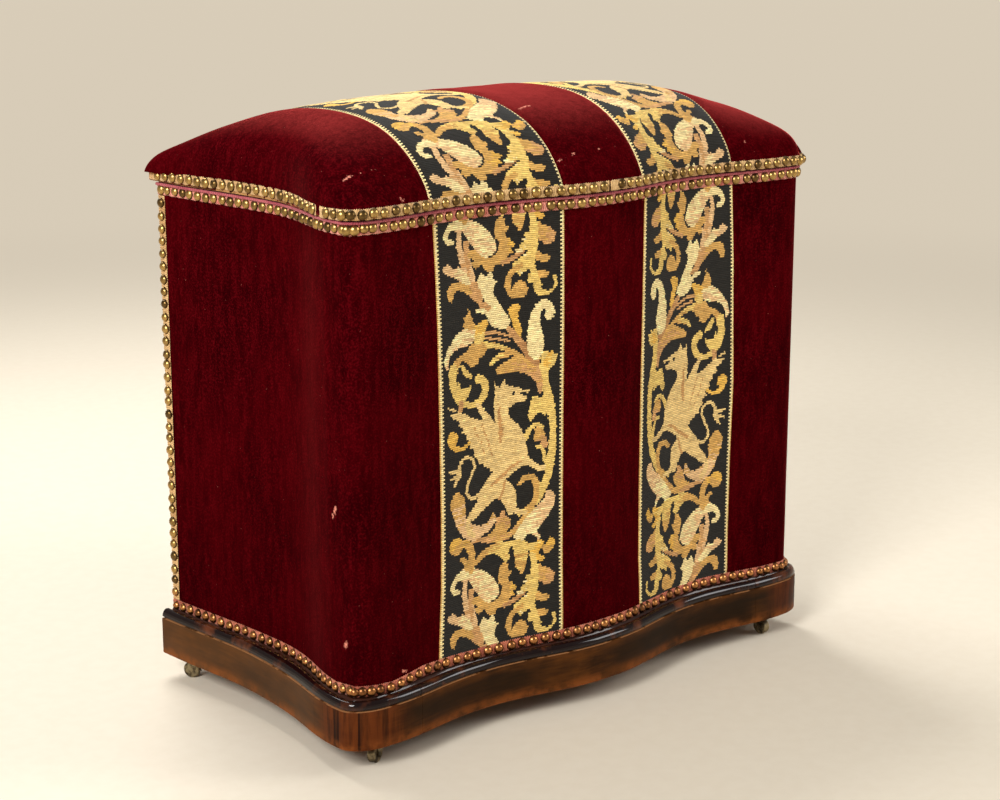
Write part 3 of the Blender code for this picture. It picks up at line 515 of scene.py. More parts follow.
needlework = {
    "repeat": 333.0, "foot": 80.85, "left": 8.5, "right": 149.5, "columns": 54, "fine": 8, "rows": 180,
    "ground": {"left": 3.5, "right": 7.5},  # more black beside the inner selvedge on the box
    "selvedge": (3.4, 5.3), "cording": 1.3, "rib": 0.00026, "raised": 0.0003,
    "shaken": 0.5, "ragged": 0.34, "rowShade": 0.045, "stitchShade": 0.035,  # unevenness of outlines and dyes
    "dyes": {
        "k": (37, 36, 32), "c": (246, 224, 164), "y": (234, 201, 116), "o": (213, 168, 94), "t": (208, 160, 104),
        "p": (232, 192, 140), "g": (232, 184, 86), "b": (186, 138, 88), "h": (234, 202, 136), "s": (202, 156, 98),
    },
    "shapes": [
        # scroll stem at the right, then the big leaf at its top
        ("stem", "yy", 0, [(131, 358, 9), (130, 345, 9), (131, 330, 9), (136, 315, 9), (139, 300, 9), (140, 284, 8),
            (139, 265, 9), (136, 246, 9), (130, 231, 9), (122, 218, 8), (113, 210, 7), (102, 206, 5)]),
        ("leaf", "yy", 0, [(113, 305), (112, 301), (115, 296), (119, 299), (121, 302), (127, 302), (132, 299),
            (134, 306), (136, 314), (131, 322), (126, 317), (122, 319), (118, 320), (115, 315)]),
        ("leaf", "ot", 330, [(77, 348), (80, 353), (88, 357), (98, 360), (108, 359), (117, 354), (124, 348), (127, 336),
            (127, 324), (124, 322), (121, 331), (116, 338), (108, 343), (100, 345), (92, 346), (84, 345), (80, 345)]),
        ("leaf", "oy", 180, [(57, 376), (66, 378), (76, 376), (86, 372), (96, 367), (106, 361), (114, 354), (121, 347),
            (113, 349), (105, 356), (97, 361), (88, 366), (78, 370), (68, 371), (61, 367)]),
        ("leaf", "yo", 0, [(70, 355), (73, 361), (81, 365), (91, 366), (100, 363), (91, 361), (83, 360), (76, 357),
            (72, 354)]),
        ("leaf", "oo", 90, [(22, 350), (24, 358), (28, 364), (36, 369), (44, 372), (49, 378), (56, 380), (63, 378),
            (67, 372), (63, 366), (58, 363), (57, 359), (52, 357), (47, 358), (43, 362), (38, 364), (33, 357),
            (31, 350)]),
        ("leaf", "yg", 180, [(128, 350), (131, 356), (135, 360), (139, 362), (140, 359), (144, 358), (143, 352),
            (140, 347), (134, 346)]),
        # tan stems and the comma leaf
        ("stem", "tb", 300, [(87, 391, 4), (95, 384, 6), (103, 374, 7), (112, 362, 8), (121, 352, 7)]),
        ("stem", "tt", 0, [(64, 386, 3), (75, 386, 3.4), (85, 383, 3), (96, 379, 3)]),
        ("stem", "tt", 0, [(68, 381, 2.4), (80, 379, 2.8), (92, 376, 2.6)]),
        ("leaf", "gg", 90, [(92, 408), (95, 409), (99, 410), (104, 408), (103, 404), (101, 401), (102, 395), (104, 388),
            (105, 382), (103, 378), (100, 382), (97, 388), (94, 396), (92, 402)]),
        ("leaf", "cc", 0, [(117, 356), (112, 362), (111, 372), (111, 382), (113, 392), (116, 401), (121, 408),
            (128, 412), (135, 410), (140, 404), (141, 398), (138, 393), (133, 392), (130, 396), (131, 400), (129, 403),
            (126, 400), (125, 392), (126, 384), (129, 375), (129, 365), (126, 358), (122, 354)]),
        # buds and the arching leaf at the left
        ("leaf", "oo", 0, [(41, 398), (42, 404), (46, 407), (47, 412), (48.5, 409), (50, 404), (53, 398), (54, 393),
            (50, 390), (46, 391), (41, 394)]),
        ("leaf", "gy", 270, [(52, 393), (57, 396), (62, 398), (67, 399), (70, 396), (68, 393), (65, 388), (65, 382),
            (60, 377), (54, 377), (52, 386)]),
        ("leaf", "pc", 120, [(54, 390), (48, 392), (40, 393), (33, 390), (26, 384), (20, 377), (17, 370), (16, 363),
            (20, 358), (21, 364), (24, 371), (30, 375), (38, 377), (46, 378), (52, 381)]),
        # trumpet leaf and the ochre leaf beside it
        ("leaf", "ot", 315, [(22, 426), (24, 434), (30, 438), (42, 438), (50, 433), (57, 425), (66, 416), (75, 409),
            (73, 406), (62, 412), (52, 420), (44, 427), (37, 430), (31, 428), (28, 421), (25, 421)]),
        ("leaf", "cc", 0, [(58, 434), (60, 440), (63, 443), (67, 439), (71, 443), (75, 441), (76, 436), (80, 434),
            (77, 430), (76, 423), (80, 415), (87, 405), (92, 397), (92, 391), (87, 388), (80, 389), (74, 392),
            (70, 398), (66, 404), (60, 406), (55, 408), (58, 411), (64, 410), (69, 407), (73, 409), (70, 413),
            (64, 421), (60, 428)]),
        # flower: stems, left leaf, frill, bulb with its hook, gold lobes
        ("stem", "tp", 90, [(40, 153, 5), (38.5, 141, 6), (41, 128, 7), (47, 113, 9), (55, 97, 9), (63, 80, 7)]),
        ("stem", "tp", 0, [(47, 139, 7), (47, 130, 6), (49, 118, 7), (53, 106, 7)]),
        ("leaf", "pc", 320, [(18, 119), (23, 122.5), (28, 121), (31, 117), (37, 119), (41, 115), (46, 111), (51, 103),
            (48, 101), (40, 104), (33, 109), (26, 112), (20, 115)]),
        ("leaf", "oo", 0, [(79, 148), (80, 155), (85, 161), (89, 158), (90, 152), (94, 150), (91, 145), (89, 140),
            (84, 137), (80, 141)]),
        ("leaf", "oo", 0, [(48, 130), (54, 133), (60, 131), (65, 126), (72, 123), (78, 125), (82, 130), (88, 127),
            (92, 123), (87, 119), (84, 116), (78, 116), (76, 111), (71, 110), (67, 113), (63, 118), (58, 115),
            (53, 119), (55, 123), (50, 126)]),
        ("leaf", "og", 0, [(82, 130), (84, 138), (90, 141), (95, 139), (96, 136), (100, 135), (99, 132), (95, 130),
            (97, 126), (92, 124), (88, 121), (84, 124)]),
        ("leaf", "pc", 40, [(36, 164), (47, 163), (61, 157), (72, 149), (78, 140), (80, 132), (75, 125.5), (67, 124),
            (60, 129), (52, 139), (46, 148), (41, 152), (34, 153)]),
        ("stem", "cc", 0, [(41, 158, 10), (31, 157, 7), (24, 150, 6), (25, 144, 5.5), (30, 142, 5.5)]),
        # acanthus trunk with its lobes and end curl
        ("leaf", "ot", 330, [(123, 153), (129, 149), (134, 148), (139, 144), (142, 140), (141, 134), (136, 131),
            (130, 131), (128, 134), (123, 138)]),
        ("leaf", "oo", 0, [(121, 128), (126, 123), (131, 121), (136, 120), (136, 117), (131, 114), (126, 115),
            (121, 117)]),
        ("leaf", "oo", 0, [(120, 109), (125, 106), (130, 106), (135, 104), (134, 101), (129, 99), (124, 101),
            (120, 103)]),
        ("stem", "tb", 0, [(86, 117, 4.5), (95, 120, 4.5), (105, 125, 4.5), (115, 132, 4)]),
        ("leaf", "cy", 0, [(119, 142), (114, 140), (107, 137), (110, 134.5), (105, 130), (100, 128), (101, 125.5),
            (107, 126), (113, 127), (119, 128)]),
        ("leaf", "yc", 0, [(119, 128), (110, 124), (103, 119.5), (97, 115.5), (95.5, 111.5), (98.5, 107.5), (101, 109),
            (104, 103.5), (107, 106), (110, 106), (112, 109), (119, 112)]),
        ("leaf", "yy", 0, [(124, 172), (122, 160), (124, 150), (124, 140), (123, 128), (120, 118), (121, 108),
            (125, 98), (127, 90), (133, 87), (139, 90), (141, 95), (139, 100), (142, 101), (144, 96), (143, 90),
            (138, 85), (131, 82.5), (124, 83), (119, 88), (117, 96), (113, 96), (112, 102), (115, 107), (113, 109),
            (110, 106), (106, 108), (104, 110), (100, 110), (102, 115), (108, 120), (112, 124), (116, 130), (113, 132),
            (108, 129), (104, 128), (103, 130), (108, 135), (113, 137), (109, 140), (110, 143), (115, 146), (115, 155),
            (114, 163), (112, 171), (118, 176)]),
        ("stem", "oo", 0, [(105, 113, 5), (96, 108, 6), (91.5, 100, 6.5), (92, 91, 6), (97, 85, 6)]),
        ("ball", "oo", 0, [(104, 90.5, 8.2)]),
        # branch under the griffin
        ("leaf", "gy", 180, [(108, 172), (114, 175), (122, 176), (129, 176), (129, 171), (126, 167), (124, 163),
            (131, 158), (126, 155), (121, 159), (118, 163), (114, 166)]),
        ("leaf", "go", 270, [(129, 170), (134, 173), (138, 178), (142, 175), (142, 169), (139, 165), (134, 162),
            (130, 164)]),
        ("leaf", "oy", 0, [(51, 167), (57, 174), (66, 179), (78, 182), (92, 180), (97, 176), (92, 175), (90, 170),
            (92, 165), (88, 161), (84, 163), (80, 168), (74, 171), (66, 171), (59, 168), (54, 164)]),
        ("leaf", "yo", 250, [(91, 179), (96, 171), (97, 162), (99, 153), (105, 145), (108, 150), (110, 157), (112, 164),
            (110, 169), (113, 174), (106, 180), (98, 181)]),
        ("leaf", "oo", 0, [(32, 173), (36, 175), (41, 172), (45, 169), (45, 162), (38, 162), (38, 168)]),
        ("stem", "go", 0, [(33, 188, 6), (41, 187, 8), (46.5, 179, 8), (47, 167, 9), (46, 161, 8)]),
        ("ball", "go", 300, [(28, 187.5, 8.6)]),
        ("leaf", "ot", 180, [(48, 187), (56, 186), (64, 184), (74, 182), (84, 182), (92, 184), (98, 188), (105, 194),
            (111, 201), (119, 208), (113, 209), (104, 202), (97, 195), (90, 190), (82, 189), (76, 190), (70, 191),
            (62, 190), (54, 190)]),
        ("leaf", "ot", 90, [(66, 190), (73, 194), (76, 200), (77, 206), (80, 206), (82, 211), (86, 212), (87, 207),
            (90, 204), (93, 202), (92, 197), (90, 193), (85, 189), (78, 187)]),
        ("leaf", "op", 270, [(21, 230), (24, 237), (29, 240), (35, 237), (39, 231), (40, 223), (40, 214), (46, 207),
            (54, 203), (60, 202), (66, 204), (70, 208), (73, 212), (76, 208), (75, 203), (70, 197), (63, 193),
            (56, 190), (47, 189), (38, 194), (31, 202), (27, 211), (22, 222)]),
        ("leaf", "pc", 200, [(143, 214), (142, 221), (137, 226), (133, 224), (130, 218), (124, 213), (116, 207),
            (108, 200), (102, 193), (96, 185), (98, 182), (103, 180), (107, 179), (110, 183), (115, 184), (120, 182),
            (124, 177), (126, 180), (122, 187), (128, 193), (134, 199), (139, 206)]),
        ("stem", "oo", 0, [(103, 236, 5), (109, 241, 6), (117, 240, 7), (121, 232, 7), (121, 222, 6), (118, 214, 6),
            (112, 210, 7)]),
        # left scroll over the wing
        ("stem", "yy", 0, [(27, 358, 10), (26, 345, 9), (29, 335, 9), (34, 327, 8), (42, 322, 6), (52, 321, 6),
            (60, 324, 7), (65, 332, 8), (63, 341, 8), (57, 344, 9)]),
        ("leaf", "yy", 0, [(33, 345), (37, 338), (45, 338), (49, 340), (47, 334), (44, 329), (40, 326), (35, 327),
            (31, 333)]),
        ("stem", "yy", 0, [(38, 359, 4), (42, 352, 6), (48, 348, 4)]),
        ("stem", "tt", 0, [(36, 324, 6), (35, 316, 5)]),
        ("stem", "gg", 0, [(46, 285, 3), (39, 281.5, 4), (31, 281, 5), (24, 285, 6)]),
        ("ball", "gg", 0, [(24.5, 292, 6.8)]),
        # griffin
        ("stem", "yy", 0, [(109, 279, 5), (113, 287, 5), (119, 291, 4.4), (125, 291, 4), (129, 288, 3)]),
        ("leaf", "ot", 290, [(118, 279), (119, 286), (122, 289), (127, 288), (130, 283), (133, 276), (134, 269),
            (128, 267), (123, 270), (127, 274), (124, 276), (120, 275)]),
        ("stem", "yy", 0, [(121, 270, 3), (126, 269, 3.4), (130, 262, 4), (132, 254, 5)]),
        ("stem", "hh", 0, [(55, 232, 3.6), (47, 231, 3.4), (42, 236, 3.2), (42, 243, 3.2), (47, 252, 3.2),
            (51, 260, 3.2), (50, 267, 3.2), (44, 271, 3.2), (37, 270, 3.4), (33, 264, 4), (32, 257, 6)]),
        ("stem", "hh", 0, [(32, 259, 5), (20, 261, 2.2)]),
        ("stem", "hh", 0, [(32, 256, 5), (20, 253, 2.2)]),
        ("stem", "hh", 0, [(32, 255, 5), (26, 247, 2.6)]),
        ("stem", "hh", 0, [(46, 212, 6), (42, 206, 5), (45, 198, 6), (50, 194, 5)]),
        ("stem", "hh", 0, [(92, 212, 6), (100, 209, 5), (109, 206, 4.5)]),
        ("edge", "hh", 0, [(75, 340), (77, 335), (82, 333), (86, 340), (89, 334), (94, 332), (101, 330), (108, 327),
            (115, 327), (112, 323), (107, 324), (105, 321), (111, 321), (110, 317), (104, 316), (98, 315), (92, 312),
            (90, 307), (92, 302), (99, 296), (104, 290), (107, 284), (110, 276), (111, 268), (112, 262), (118, 256),
            (124, 252), (132, 251), (133, 247), (126, 245), (119, 248), (112, 253), (104, 252), (97, 249), (87, 242),
            (93, 237), (98, 231), (99, 222), (98, 208), (90, 207), (87, 214), (82, 223), (77, 226), (70, 222),
            (60, 216), (50, 209), (43, 211), (44, 216), (53, 225), (55, 233), (62, 241), (72, 252), (69, 254),
            (69, 257), (63, 258), (62, 262), (57, 262), (55, 268), (51, 271), (51, 277), (46, 280), (48, 285),
            (42, 288), (43, 293), (37, 296), (38, 300), (32, 303), (34, 307), (27, 311), (22, 315), (33, 317),
            (41, 313), (50, 308), (58, 304), (61, 306), (57, 313), (53, 321), (57, 321), (62, 316), (70, 307),
            (76, 298), (75, 310), (74, 318), (76, 326)]),
        ("stem", "hh", 0, [(20, 321.5, 2.2), (29, 318.5, 2.6)]),
        ("stem", "ss", 0, [(80, 316, 2), (81, 302, 4), (82, 292, 5), (81, 280, 3)]),  # chest shading
        ("stem", "ss", 0, [(72, 240, 4), (84, 247, 4), (94, 254, 3.4), (104, 258, 2.6)]),
        ("stem", "ss", 0, [(80, 224, 3), (84, 233, 3), (86, 241, 2)]),
        ("stem", "ss", 0, [(60, 300, 2), (66, 286, 2.2), (72, 268, 2)]),
        ("stem", "ss", 0, [(50, 301, 1.8), (57, 286, 2), (63, 272, 1.8)]),
        ("ball", "kk", 0, [(96, 325.4, 1.8)]),  # eye
        ("stem", "kk", 0, [(104, 324, 1.6), (110, 323.5, 2)]),  # open beak
    ],
}


def smoothLine(points, closed, parts=6):
    points = np.array(points, float)
    if closed:
        ring = np.vstack([points[-1:], points, points[:2]])
    else:
        ring = np.vstack([2 * points[:1] - points[1:2], points, 2 * points[-1:] - points[-2:-1]])
    t = np.linspace(0, 1, parts, endpoint=False)[:, None]
    line = []
    for a, b, c, d in zip(ring, ring[1:], ring[2:], ring[3:]):
        line.append(0.5 * (2 * b + (c - a) * t + (2 * a - 5 * b + 4 * c - d) * t ** 2
                           + (3 * b - a - 3 * c + d) * t ** 3))
    return np.vstack(line if closed else line + [points[-1:]])


def insideLine(line, x, z):
    hit = np.zeros(x.shape, bool)
    for (x0, z0), (x1, z1) in zip(line, np.roll(line, -1, axis=0)):
        if z0 != z1:
            cross = (z0 > z) != (z1 > z)
            hit ^= cross & (x < (x1 - x0) * (z - z0) / (z1 - z0) + x0)
    return hit


def streaks(rows, columns, length):  # random runs along each row of stitches
    loose = chance.normal(0, 1, (rows, columns + length))
    return sum(loose[:, k:k + columns] for k in range(length)) / length ** 0.5


def chartOf(work):
    count = work["columns"] * work["fine"]
    x = work["left"] + (np.arange(count) + 0.5) * (work["right"] - work["left"]) / count
    z = work["foot"] + (np.arange(work["rows"]) + 0.5) * work["repeat"] / work["rows"]
    x, z = np.meshgrid(x, z)
    chart = np.full(x.shape, "k")
    shaken = x + np.repeat(work["shaken"] * streaks(work["rows"], work["columns"], 3), work["fine"], 1)
    ragged = np.repeat(work["ragged"] * streaks(work["rows"], work["columns"], 4), work["fine"], 1)
    for kind, dyes, way, points in work["shapes"]:
        if kind == "stem":
            line = smoothLine(points, False)
        elif kind == "ball":
            line = np.array(points, float)
        else:
            line = np.array(points, float) if kind == "edge" else smoothLine(points, True)
        low, high = line.min(0), line.max(0)
        turn = math.radians(way)
        middle, half = (low + high) / 2, (high - low) / 2
        for lift in (-work["repeat"], 0.0, work["repeat"]):
            here = z + lift
            margin = 0.0 if kind in ("leaf", "edge") else line[:, 2].max()
            near = ((shaken > low[0] - margin) & (shaken < high[0] + margin)
                    & (here > low[1] - margin) & (here < high[1] + margin))
            if not near.any():
                continue
            nearX, nearZ = shaken[near], here[near]
            if kind in ("leaf", "edge"):
                hit = insideLine(line, nearX, nearZ)
            else:
                reach = line[:, 2] / (1 if kind == "ball" else 2)
                hit = (np.hypot(nearX[:, None] - line[:, 0], nearZ[:, None] - line[:, 1]) < reach).any(1)
            side = ((nearX - middle[0]) * math.cos(turn) + (nearZ - middle[1]) * math.sin(turn))
            side = side / max(abs(half[0] * math.cos(turn)) + abs(half[1] * math.sin(turn)), 1.0) + ragged[near]
            picked = np.where(side < 0.0, dyes[0], dyes[1])
            found = np.flatnonzero(near.ravel())[hit]
            chart.ravel()[found] = picked[hit]
    toothed = np.where(np.arange(work["rows"])[:, None] % 2, *work["selvedge"])
    edge = np.minimum(x - work["left"], work["right"] - x)
    chart = np.where(edge < toothed, "c", chart)
    return np.where(edge < work["cording"], "o", chart)


chart = chartOf(needlework)
print("needlework chart drawn")

# heights and insets shared by the covers

heights = {"coverLow": 0.0716, "coverHigh": 0.5085, "bandTop": 0.5041,
           "lidLow": 0.5095, "lidBackLift": 0.0033, "lidRim": 0.5176}
cover = {"inset": 0.0145, "bandProud": 0.0005, "bandHem": -0.0006, "bodyBack": 0.1720, "tuck": 0.006,
         "thick": 0.0012, "lidThick": 0.0015}
lid = {
    "frontInset": 0.0094, "sideInset": 0.0088, "frontY": -0.155, "backY": 0.1798,
    "crown": 0.0766, "eave": 0.5, "crownInset": 0.0150, "lump": 0.0006,
    "ridgeY": -0.0073, "frontPower": (2.49, 0.75), "backPower": (1.88, 0.52), "endPower": (11.8, 0.43),
    "endSag": 0.0117, "phase": {"left": 94.5, "right": 100.5}, "cornerOut": 0.0054, "cornerFrom": 0.12,
    "dents": [(0.242, 0.035, 0.0045), (-0.235, 0.040, 0.0018), (-0.172, 0.030, 0.0015)],  # x, width, depth
    "fuller": [(0.304, -0.150, 0.034, 0.34), (-0.290, 0.178, 0.030, 0.26)],  # x, y, width, share
    "puff": [(-0.006, -0.0028), (0.0, -0.0018), (0.0015, -0.0006), (0.004, 0.0008), (0.010, 0.0012), (0.035, 0.0)],
    "nose": {"right": (0.0045, -0.148, 0.055, 0.0022)},  # overhang, y, width and how far its skirt turns in
    "sunk": 0.0014, "sunkColumns": 3.0, "trim": 5,  # trim: selvedge turned under, in fine columns
    "proud": 0.0005, "hem": -0.0004, "frontHem": 0.0003, "hemRows": 6,
    "middleRows": 64, "endGrid": (60, 44), "turnUnder": 0.0007, "sidePower": 8,
    "frontSamples": 900, "sideSamples": 300, "domeSamples": 500,
}
bandEdges = {  # across the front, by height, in metres
    "left": {"z": (0.07, 0.10, 0.15, 0.22, 0.30, 0.35, 0.40, 0.45, 0.49, 0.51),
             "outer": (-0.1930, -0.1920, -0.1890, -0.1885, -0.1895, -0.1905, -0.1920, -0.1945, -0.1970, -0.1975),
             "inner": (-0.0455, -0.0455, -0.0464, -0.0468, -0.0468, -0.0466, -0.0464, -0.0466, -0.0472, -0.0475)},
    "right": {"z": (0.07, 0.10, 0.13, 0.21, 0.29, 0.42, 0.49, 0.51),
              "outer": (0.2042, 0.2040, 0.2035, 0.2040, 0.2060, 0.2025, 0.1985, 0.1975),
              "inner": (0.0645, 0.0635, 0.0610, 0.0603, 0.0605, 0.0612, 0.0615, 0.0615)},
}
lidBands = {  # across the lid, by distance back
    "y": (-0.155, -0.140, -0.110, -0.070, -0.010, 0.100, 0.180),
    "left": {"outer": (-0.2010, -0.2010, -0.2010, -0.2005, -0.1985, -0.1985, -0.1985),
             "inner": (-0.0480, -0.0465, -0.0455, -0.0475, -0.0495, -0.0500, -0.0500)},
    "right": {"outer": (0.1950, 0.1990, 0.2040, 0.2100, 0.2115, 0.2080, 0.2000),
              "inner": (0.0575, 0.0595, 0.0625, 0.0635, 0.0635, 0.0625, 0.0615)},
}


def bandEdge(side, edge, z):
    return np.interp(z, bandEdges[side]["z"], bandEdges[side][edge])


def stitchCells(drawn, rows, firstRow, mirror, trim=0):  # the fine chart under each cell of a band
    fine = (drawn[:, ::-1] if mirror else drawn)[(np.arange(rows) + firstRow) % needlework["rows"]]
    kept = np.linspace(trim, fine.shape[1] - 1 - trim, fine.shape[1]).round().astype(int)
    return fine[:, kept].reshape(rows, needlework["columns"], needlework["fine"])


def dyeCells(mesh, cells):
    rows, cols, fine = cells.shape
    left, right = cells[..., 0], cells[..., -1]
    middle = cells[..., fine // 2]
    left = np.where((left == right) & (left != middle), middle, left)
    turn = (cells == left[..., None]).mean(-1)
    lit = 1 + needlework["rowShade"] * streaks(rows, cols, 3)
    lit = lit + chance.normal(0, needlework["stitchShade"], (rows, cols))
    dyes = needlework["dyes"]
    shade = np.array([dyes[key] for key in sorted(dyes)], float)
    for name, work in (("dyeLeft", left), ("dyeRight", np.where(turn > 0.99, left, right))):
        colour = np.clip(shade[np.searchsorted(sorted(dyes), work)] * lit[..., None], 0, 255) / 255
        linear = np.where(colour < 0.04045, colour / 12.92, ((colour + 0.055) / 1.055) ** 2.4)
        flat = np.repeat(np.concatenate([linear, np.ones((rows, cols, 1))], -1), 2, axis=0).reshape(-1, 4)
        layer = mesh.color_attributes.new(name, "FLOAT_COLOR", "CORNER")
        layer.data.foreach_set("color", np.repeat(flat, 4, axis=0).astype(np.float32).ravel())
    spread = mesh.attributes.new("turn", "FLOAT", "CORNER")
    spread.data.foreach_set("value", np.repeat(np.repeat(turn, 2, axis=0).ravel(), 4).astype(np.float32))


def standOut(cells):  # two grid rows to each row of stitches: the groove below it, then its crest
    work = np.pad((cells != "k").mean(-1), 1, mode="edge")
    groove = (work[:-1, :-1] + work[1:, :-1] + work[:-1, 1:] + work[1:, 1:]) / 4
    crest = (work[1:-1, :-1] + work[1:-1, 1:]) / 2
    out = np.empty((2 * len(cells) + 1, groove.shape[1]))
    out[0::2], out[1::2] = groove * needlework["raised"], crest * needlework["raised"] + needlework["rib"]
    return out


def bandMesh(name, points, cells):
    rows, cols = points.shape[0] - 1, points.shape[1] - 1
    mesh = meshOf(name, points.reshape(-1, 3), gridFaces(rows + 1, cols + 1))
    dyeCells(mesh, cells)
    i, j = np.meshgrid(np.arange(rows + 1), np.arange(cols + 1), indexing="ij")
    mapFaces(mesh, "OFBake", np.stack([0.01 + 0.98 * j / cols, 0.01 + 0.98 * i / rows], -1))
    mapFaces(mesh, "weave", np.stack([j, i / 2], -1))
    mesh.uv_layers.active = mesh.uv_layers["OFBake"]
    return mesh


rowPitch = needlework["repeat"] / needlework["rows"] / 1000
for side, mirror in (("left", False), ("right", True)):
    rows = int(round((heights["coverHigh"] - heights["coverLow"]) / rowPitch))
    firstRow = int(round((heights["coverLow"] * 1000 - needlework["foot"]) / (rowPitch * 1000)))
    z = heights["coverLow"] + np.arange(2 * rows + 1) * rowPitch / 2
    z = np.minimum(z, heights["coverHigh"])
    edges = [bandEdge(side, "outer", z), bandEdge(side, "inner", z)]
    first, last = (edges[0], edges[1]) if side == "left" else (edges[1], edges[0])
    share = np.linspace(0, 1, needlework["columns"] + 1)
    inset = cover["inset"] - cover["bandProud"]
    run0, run1 = runAtX(first, inset), runAtX(last, inset)
    run = run0[:, None] * (1 - share) + run1[:, None] * share
    spread = chartOf({**needlework, "right": needlework["right"] + needlework["ground"][side]})
    cells = stitchCells(spread, rows, firstRow, mirror)
    cells[z[:-1:2] > heights["bandTop"]] = "k"
    raised = standOut(cells)
    raised[:, (0, -1)] = cover["bandHem"]
    x, y = planAt(run, inset - raised)
    points = np.stack([x, y, np.repeat(z[:, None], len(share), 1)], -1)
    name = "boxNeedlework" + side.title()
    pieceOf(name, bandMesh(name, points, cells), wool, "box", "needlework", "box_band_" + side)
print("box bands stitched")

# box velvet: three runs of cloth, tucked under the bands

fold = {"low": 0.00035, "crease": 0.0006, "creaseRun": -0.360, "creaseWidth": 0.004, "rows": 60, "column": 0.0045,
        "narrow": 46, "broad": 21}
coverLevels = np.linspace(heights["coverLow"], heights["coverHigh"], fold["rows"])


def velvetRun(name, run0, run1, node):
    cols = int(np.ceil(np.max(run1 - run0) / fold["column"])) + 1
    z, share = coverLevels, np.linspace(0, 1, cols)
    run = run0[:, None] * (1 - share) + run1[:, None] * share
    up = (z[:, None] - z[0]) / (z[-1] - z[0])
    ease = np.sin(np.pi * up) ** 0.5
    wave = np.sin(run * fold["narrow"] + 1.3 * np.sin(up * 5)) * 0.6 + np.sin(run * fold["broad"] - up * 3) * 0.4
    stand = fold["low"] * wave * ease
    stand = stand + fold["crease"] * ease * np.exp(-((run - fold["creaseRun"]) / fold["creaseWidth"]) ** 2)
    x, y = planAt(run, cover["inset"] - stand)
    points = np.stack([x, y, np.repeat(z[:, None], cols, 1)], -1)
    mesh = meshOf(name, points.reshape(-1, 3), gridFaces(len(z), cols))
    thicken(pieceOf(name, mesh, crimson, "box", "velvet", node), cover["thick"])


tuck, backRun = cover["tuck"], np.full(fold["rows"], runAtBack(cover["bodyBack"]))
seams = [runAtX(bandEdge(side, edge, coverLevels), cover["inset"])
         for side, edge in (("left", "outer"), ("left", "inner"), ("right", "inner"), ("right", "outer"))]
velvetRun("boxVelvetLeft", -backRun, seams[0] + tuck, "box_velvet_left")
velvetRun("boxVelvetMiddle", seams[1] - tuck, seams[2] + tuck, "box_velvet_middle")
velvetRun("boxVelvetRight", seams[3] - tuck, backRun, "box_velvet_right")
print("box velvet hung")

# lid: one stuffed dome under two bands

frontRuns = np.linspace(-noseRun, noseRun, lid["frontSamples"])
crownFront = planAt(frontRuns, lid["crownInset"])
lidFront = planAt(frontRuns, lid["frontInset"], lid["sideInset"])
sideRuns = np.linspace(noseRun, runAtBack(lid["backY"]), lid["sideSamples"])
lidSide = planAt(sideRuns, lid["frontInset"], lid["sideInset"])
cornerShare = np.clip((lidSide[1] - lid["cornerFrom"]) / (lid["backY"] - lid["cornerFrom"]), 0, 1)
rimSide = lidSide
lidSide = (lidSide[0] + lid["cornerOut"] * cornerShare ** 2 * (3 - 2 * cornerShare), lidSide[1])


def flankAt(y):
    return np.interp(y, *lidSide[::-1])


def nearFlank(x, y):  # 1 at the lid's side, falling off fast inside it
    return (x / flankAt(y)) ** lid["sidePower"]


def crownAt(x, y):
    front = np.interp(x, *crownFront)
    run = np.where(y < lid["ridgeY"], lid["ridgeY"] - front, lid["backY"] - lid["ridgeY"])
    along = np.clip(np.abs(y - lid["ridgeY"]) / run, 0, 1)
    fore = (1 - along ** lid["frontPower"][0]) ** lid["frontPower"][1]
    aft = (1 - along ** lid["backPower"][0]) ** lid["backPower"][1]
    across = np.clip(np.abs(x) / flankAt(y), 0, 1)
    ends = (1 - across ** lid["endPower"][0]) ** lid["endPower"][1]
    dent = sum(deep * np.exp(-((x - at) / wide) ** 2) for at, wide, deep in lid["dents"])
    fuller = sum(more * np.exp(-((x - atX) ** 2 + (y - atY) ** 2) / wide ** 2)
                 for atX, atY, wide, more in lid["fuller"])
    rise = lid["crown"] - lid["endSag"] * across ** 2 - dent
    soft = lid["lump"] * np.sin(x * 31 + 1) * np.sin(y * 37) * ends
    shape = (np.where(y < lid["ridgeY"], fore, aft) * ends) ** (1 - fuller)
    eave = lid["eave"] * np.maximum(front - y, 0)
    return heights["lidRim"] + rise * shape + soft * fore * aft - eave


def lidLowAt(y):
    return heights["lidLow"] + np.where(y > lid["backY"] - 1e-4, heights["lidBackLift"], 0.0)


def seamAt(side, edge, y):
    return np.interp(y, lidBands["y"], lidBands[side][edge])


def domeLine(edges, share):  # front edge to back edge over the dome, with its length along the cloth
    across = lambda y: edges[0](y) * (1 - share) + edges[1](y) * share
    front = np.interp(across(lid["frontY"]), *lidFront)
    y = front + (lid["backY"] - front) * easedShares(lid["domeSamples"])
    line = np.stack([across(y), y, crownAt(across(y), y)], -1)
    return line, np.concatenate([[0], np.cumsum(np.linalg.norm(np.diff(line, axis=0), axis=1))])


def lidStrip(edges, shares, stepOf):
    lines = [domeLine(edges, share) for share in shares]
    steps = stepOf(np.mean([s[-1] for _, s in lines]))
    return np.stack([np.stack([np.interp(steps * s[-1], s, line[:, k]) for k in range(3)], -1)
                     for line, s in lines], 1)


def easeIn(steps):  # nothing at the rim, full over the dome
    return np.sin(np.pi * steps) ** 0.35


def puffAt(inside):  # velvet rolls down into its seam and stands full beside it
    return np.interp(inside, *zip(*lid["puff"]))


def liftOff(points, amount):  # stand a grid of points out along its own normals
    across, along = np.gradient(points, axis=1), np.gradient(points, axis=0)
    normal = np.cross(across, along)
    normal /= np.linalg.norm(normal, axis=-1, keepdims=True) + 1e-12
    return points + normal * np.asarray(amount)[..., None]


